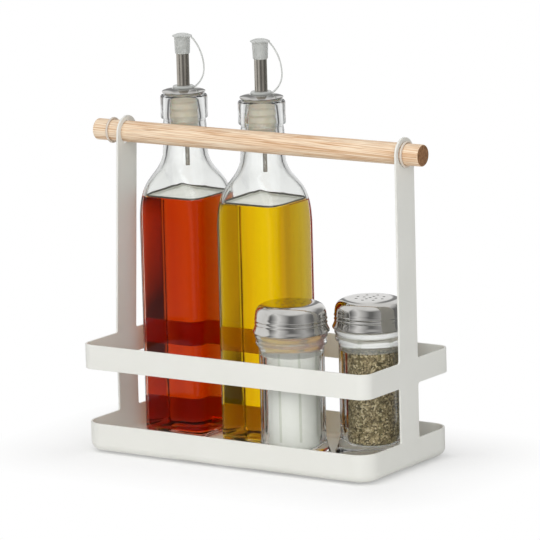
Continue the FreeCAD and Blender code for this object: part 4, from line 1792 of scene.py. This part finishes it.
# ------------------------------------------------------------------------------------------
# Shakers
# ------------------------------------------------------------------------------------------
@dataclass
class Shaker:
    """A panelled glass shaker with its seasoning and a punched steel lid."""

    kind: Seasoning
    x: float
    y: float
    base: float = 3.0
    radius: float = 22.5
    bore: float = 18.2
    floor: float = 10.5
    foot: float = 26.3
    body_level: float = 19.0
    shoulder_level: float = 81.0
    bulge: float = 25.1
    neck_level: float = 92.2
    neck: float = 24.0
    neck_top: float = 105.7
    neck_bore: float = 20.8
    panels: int = 10
    flat: float = 21.5
    turn: float = 10.0
    ridge: float = 15.7
    fill: float = 77.0
    lid_rim: float = 26.5
    lid_skirt: float = 24.8
    lid_height: float = 20.2
    lid_top: float = 16.0
    lid_steel: float = 0.5
    lid_rest: float = 0.3
    hole: float = 1.9

    # The lid's holes: how many in each ring, and how far out.
    HOLES = ((1, 0.0), (4, 4.8), (8, 9.8))

    @property
    def at(self) -> Point:
        """Where the shaker's own origin stands."""
        return (self.x, self.y, self.base)

    @property
    def name(self) -> str:
        """What the shaker's pieces are called after."""
        return self.kind.value

    @property
    def pitch(self) -> float:
        """The angle from one panel to the next, in degrees."""
        return 360 / self.panels

    def angles(self) -> list[float]:
        """Give where points stand round the jar: two close together at each ridge.

        Returns:
            Their angles in order, in radians.
        """
        steps = (-17.1, -15.6, -11, -5.5, 0, 5.5, 11, 15.6, 17.1)
        return [
            math.radians(self.turn + self.pitch * number + step)
            for number in range(self.panels)
            for step in steps
        ]

    def panel_rings(self) -> list[Ring]:
        """Draw the panels, which fade into round bands above and below.

        Returns:
            Their sections from the bottom up.
        """
        low, high = self.body_level + 1.5, self.shoulder_level - 1.5
        fade = ((-1.5, 0), (0.3, 0.12), (1.2, 0.6), (2.4, 0.95), (3.2, 1))
        rows = [(low + up, share) for up, share in fade]
        rows += [(35, 1), (50, 1), (65, 1)]
        rows += [(high - down, share) for down, share in reversed(fade)]
        turn = math.radians(self.turn)
        return [
            Ring(level, panel_section(self.radius, self.flat, share, self.panels, turn))
            for level, share in rows
        ]

    def jar_rings(self) -> list[Ring]:
        """Draw the whole jar.

        Returns:
            Its sections up the outside, over the mouth and down the inside.
        """
        foot, bulge, neck, wide = self.foot, self.bulge, self.neck, self.neck_bore
        top, bore, floor = self.neck_top, self.bore, self.floor
        low = [
            (1.6, POLE), (1.5, 10), (1.1, 16), (0.3, 20), (0.0, 21.4), (0.25, 22.5),
            (0.9, 23.4), (2.4, 25.2), (3.3, 25.95), (4.4, foot), (5.8, foot), (6.8, 25.9),
            (8.5, 25.0), (11, 24.1), (14, 23.4), (17, 22.8),
        ]
        high = [
            (82.4, 22.8), (83.4, 23.6), (84.1, 24.3), (85.0, 24.6), (86.4, 24.6),
            (87.2, 24.35), (87.7, 23.9), (88.2, 23.9), (88.7, 24.5), (89.4, 25.0),
            (90.2, bulge), (91.3, bulge), (91.95, 24.9), (92.2, 24.5),
        ]
        mouth = [
            (92.25, neck), (95, neck), (100, neck), (top - 0.9, neck), (top - 0.25, 23.75),
            (top, 23.2), (top, 21.6), (top - 0.25, 21.05), (top - 0.9, wide),
        ]
        inside = [
            (96, wide), (88.5, wide), (86.5, 20.5), (84, 19.5), (82, 18.6), (80, 18.25),
            (76.4, bore), (60, bore), (40, bore), (20, bore), (floor + 4, bore),
            (floor + 2.2, 17.7), (floor + 0.9, 16.3), (floor + 0.2, 14.2), (floor, 11.5),
            (floor, POLE),
        ]
        return round_rings(low) + self.panel_rings() + round_rings(high + mouth + inside)

    def build_jar(self) -> None:
        """Press the jar: a dished underside, a thick flared foot, panels, a bulge and a neck."""
        blank = Blank.raised(self.angles(), self.jar_rings())
        half = self.pitch / 2
        for face in blank.mesh.faces:
            middle = face.calc_center_median()
            away = math.hypot(middle.x, middle.y)
            angle = math.degrees(math.atan2(middle.y, middle.x)) - self.turn
            at_ridge = abs((angle + half) % self.pitch - half) > self.ridge
            on_panels = self.body_level < middle.z < self.shoulder_level
            # Ridge faces take the greyer ridge glass: painted shade along the panel ridges.
            if at_ridge and on_panels and away > self.radius - 1.5:
                face.material_index = 1
            # The inner wall above the seasoning takes the pale neck film: painted light.
            elif self.fill - 1 < middle.z < self.neck_top - 2 and away < self.neck_bore + 0.2:
                face.material_index = 2
        finishes = [JAR_GLASS, SHADED_RIDGE_GLASS, NECK_LIGHT_FILM]
        jar = blank.piece(self.name + "_glass", finishes, self.at, 50)
        issue(jar, self.name + "_shaker", [self.name + "_jar"], "jar_glass")

    def build_fill(self) -> None:
        """Pour the seasoning in, with an uneven top."""
        edge, floor, top = self.bore - 0.06, self.floor + 0.06, self.fill - 0.3
        corners = [(0, floor), (11.4, floor), (14.1, floor + 0.2), (16.2, floor + 0.9)]
        corners += [(17.6, floor + 2.2), (edge, floor + 4), (edge, self.fill - 1)]
        corners += [(edge - step * 1.5, top) for step in range(12)] + [(0, top)]
        blank = Blank.turned(corners, steps=72).ruffle(self.fill - 0.8, 0.9, 3.5)
        grains = Grains(self.name + "_grains", self.kind)
        fill = blank.piece(self.name + "_heap", [grains], self.at, 70)
        issue(fill, self.name + "_shaker", [self.name + "_fill"], self.name + "_grains")

    def build_punch(self, level: float, at: Point) -> bpy.types.Object:
        """Make the tool that punches the lid's holes.

        Args:
            level: the level of the lid's flat top in the lid itself.
            at: where the lid stands.

        Returns:
            The tool, to be taken away again.
        """
        punch = Blank()
        radius = self.hole / 2
        for count, away in self.HOLES:
            for number in range(count):
                angle = FULL_TURN * number / count
                across = (away * math.cos(angle), away * math.sin(angle), level)
                bmesh.ops.create_cone(
                    punch.mesh,
                    cap_ends=True,
                    segments=20,
                    radius1=radius,
                    radius2=radius + 0.15,
                    depth=3,
                    matrix=Matrix.Translation(across),
                )
        return punch.piece("punch", [LID_STEEL], at)

    def build_lid(self) -> None:
        """Spin the lid's steel, then punch its holes."""
        rim, skirt, top, steel = self.lid_rim, self.lid_skirt, self.lid_height, self.lid_steel
        bead, flat = skirt + 0.5, self.lid_top
        outer = [
            (rim - 0.35, 0.0, 0.15), (rim, 0.35, 0.2), (rim, 1.1, 0.4), (bead, 3.6, 1.2),
            (skirt, 5.7, 0.6), (bead, 6.5, 0.4), (skirt, 7.3, 0.4), (skirt, 8.3, 0.4),
            (bead, 9.1, 0.4), (skirt - 0.05, 10.1, 0.6), (24.7, 13.2, 2.0), (23.4, 16.8, 2.4),
            (20.4, 19.3, 2.2), (flat, 20.15, 1.5), (0, top),
        ]
        inner = [
            (0, top - steel), (flat, 20.15 - steel), (20.1, 18.8), (22.9, 16.5), (24.1, 13.1),
            (skirt - 0.6, 12.0), (skirt - steel, 5.7), (bead - steel, 3.6), (rim - steel, 1.1),
            (rim - 0.75, 0.0),
        ]
        at = (self.x, self.y, self.base + self.neck_level + self.lid_rest)
        blank = Blank.turned(outer + inner, True, 120)
        lid = blank.piece(self.name + "_cover", [LID_STEEL], at, 40)
        tool = self.build_punch(top, at)
        cut = lid.modifiers.new("holes", "BOOLEAN")
        cut.operation = "DIFFERENCE"
        cut.solver = "EXACT"
        cut.object = tool
        bpy.context.view_layer.update()
        graph = bpy.context.evaluated_depsgraph_get()
        punched = bpy.data.meshes.new_from_object(lid.evaluated_get(graph))
        lid.modifiers.clear()
        lid.data = punched
        lid.data.set_sharp_from_angle(angle=math.radians(40))
        bpy.data.objects.remove(tool)
        issue(lid, self.name + "_top", [self.name + "_lid"], "lid_steel")

    def build(self) -> None:
        """Build the shaker's pieces."""
        self.build_jar()
        self.build_fill()
        self.build_lid()


# ------------------------------------------------------------------------------------------
# Studio
# ------------------------------------------------------------------------------------------
@dataclass
class Studio:
    """White paper and surroundings, three soft lamps and the camera."""

    azimuth: float = LOOK_AZIMUTH
    elevation: float = 10.98
    roll: float = -1.501
    distance: float = 3302.478
    target: Point = (6.197, 0.0, 130.781)
    lens: float = 318.59
    ambient: float = 0.44
    crossings: int = 28
    aim: float = 120.0

    # The lamps: name, place and side in metres, and power in watts.
    LAMPS = (
        ("key", (-0.4, -2.2, 1.4), 2.2, 11),
        ("fill", (1.5, -1.7, 1.0), 1.8, 19),
        ("top", (0.0, -0.9, 2.1), 1.5, 12),
    )

    def build_camera(self) -> None:
        """Set the camera where the piece is looked at from."""
        azimuth, elevation, roll = map(math.radians, (self.azimuth, self.elevation, self.roll))
        right = Vector((math.cos(azimuth), math.sin(azimuth), 0))
        out = math.cos(elevation)
        back = Vector((math.sin(azimuth) * out, -math.cos(azimuth) * out, math.sin(elevation)))
        up = back.cross(right)
        turned = right * math.cos(roll) + up * math.sin(roll)
        upward = up * math.cos(roll) - right * math.sin(roll)
        data = bpy.data.cameras.new("camera")
        data.sensor_width = 36
        data.lens = self.lens
        data.clip_start = 0.05
        data.clip_end = 50
        camera = bpy.data.objects.new("camera", data)
        bpy.context.scene.collection.objects.link(camera)
        place = Matrix((turned, upward, back)).transposed().to_4x4()
        place.translation = (Vector(self.target) + back * self.distance) * MM
        camera.matrix_world = place
        bpy.context.scene.camera = camera

    def build_floor(self) -> None:
        """Lay the paper."""
        blank = Blank()
        bmesh.ops.create_circle(blank.mesh, cap_ends=True, segments=64, radius=6000)
        floor = blank.piece("floor", [StudioFloor("studio_paper")], (0, 0, -0.02))

    def build_lamp(self, name: str, place: Point, size: float, power: float) -> None:
        """Hang a soft lamp that faces the piece.

        Args:
            name: the lamp's name.
            place: where it hangs, in metres.
            size: its side, in metres.
            power: its power, in watts.
        """
        data = bpy.data.lights.new(name, "AREA")
        data.shape = "SQUARE"
        data.size = size
        data.energy = power
        lamp = bpy.data.objects.new(name, data)
        lamp.location = place
        lamp.visible_glossy = False
        aim = Vector((0, 0, self.aim * MM)) - Vector(place)
        lamp.rotation_euler = aim.to_track_quat("-Z", "Y").to_euler()
        bpy.context.scene.collection.objects.link(lamp)

    def build_world(self) -> None:
        """Make the surroundings: white, with dim side walls for metal and glass to show."""
        world = bpy.data.worlds.new("studio")
        bpy.context.scene.world = world
        recipe = Recipe(world)
        camera, crossing, glossy = recipe.rays()
        mirrored = glossy.most(crossing)
        way = recipe.node("ShaderNodeTexCoord").outputs["Generated"]
        through, mirror = surroundings(recipe, way)
        seen = glossy * mirror + (1 - glossy) * through
        strength = camera + (1 - camera) * (mirrored * seen + (1 - mirrored) * self.ambient)
        background = recipe.node(
            "ShaderNodeBackground", None, {"Color": linear("FFFFFF"), "Strength": strength}
        )
        recipe.node("ShaderNodeOutputWorld", None, {"Surface": background.outputs[0]})

    def build(self) -> None:
        """Set up the studio."""
        self.build_camera()
        self.build_floor()
        self.build_world()
        for lamp in self.LAMPS:
            self.build_lamp(*lamp)
        bpy.context.scene.view_settings.view_transform = "Standard"
        light = bpy.context.scene.cycles
        for limit in ("max_bounces", "transmission_bounces", "transparent_max_bounces"):
            setattr(light, limit, self.crossings)


def main() -> None:
    """Build the caddy piece by piece, then the studio."""
    logging.basicConfig(level=logging.INFO, format="%(message)s")
    vinegar = Liquid(
        "vinegar_liquid", "FFD08A", "E08A50", "FFF2E6", (0.925, 0.66, 0.0, 1), 150, middle=-0.0805
    )
    vinegar_inside = WettedGlass("vinegar_wetted_glass", 1.04)
    # Glass in front of the vinegar darkens to deep red where seen edge-on: painted shade.
    vinegar_outside = ClearGlass("vinegar_filled_glass", edge="8A2A08", bend=1.28)
    oil = Liquid(
        "oil_liquid", "FFFFE0", "E0C078", "FFFBE6", (0.975, 0.905, 0.0, 1), 115, middle=-0.0151
    )
    oil_inside = WettedGlass("oil_wetted_glass", 1.03)
    # Glass in front of the oil darkens to deep amber where seen edge-on: painted shade.
    oil_outside = ClearGlass("oil_filled_glass", edge="A87B10", bend=1.28)
    parts = [
        Rack(),
        Handle(),
        Bottle("vinegar", -80.5, vinegar, vinegar_inside, vinegar_outside),
        Bottle("oil", -15.1, oil, oil_inside, oil_outside),
        Shaker(Seasoning.SALT, 39.2, -25.3),
        Shaker(Seasoning.PEPPER, 79.9, 12.2),
        Studio(),
    ]
    for part in parts:
        part.build()
        LOG.info("built: %s", type(part).__name__)


if __name__ == "__main__":
    main()
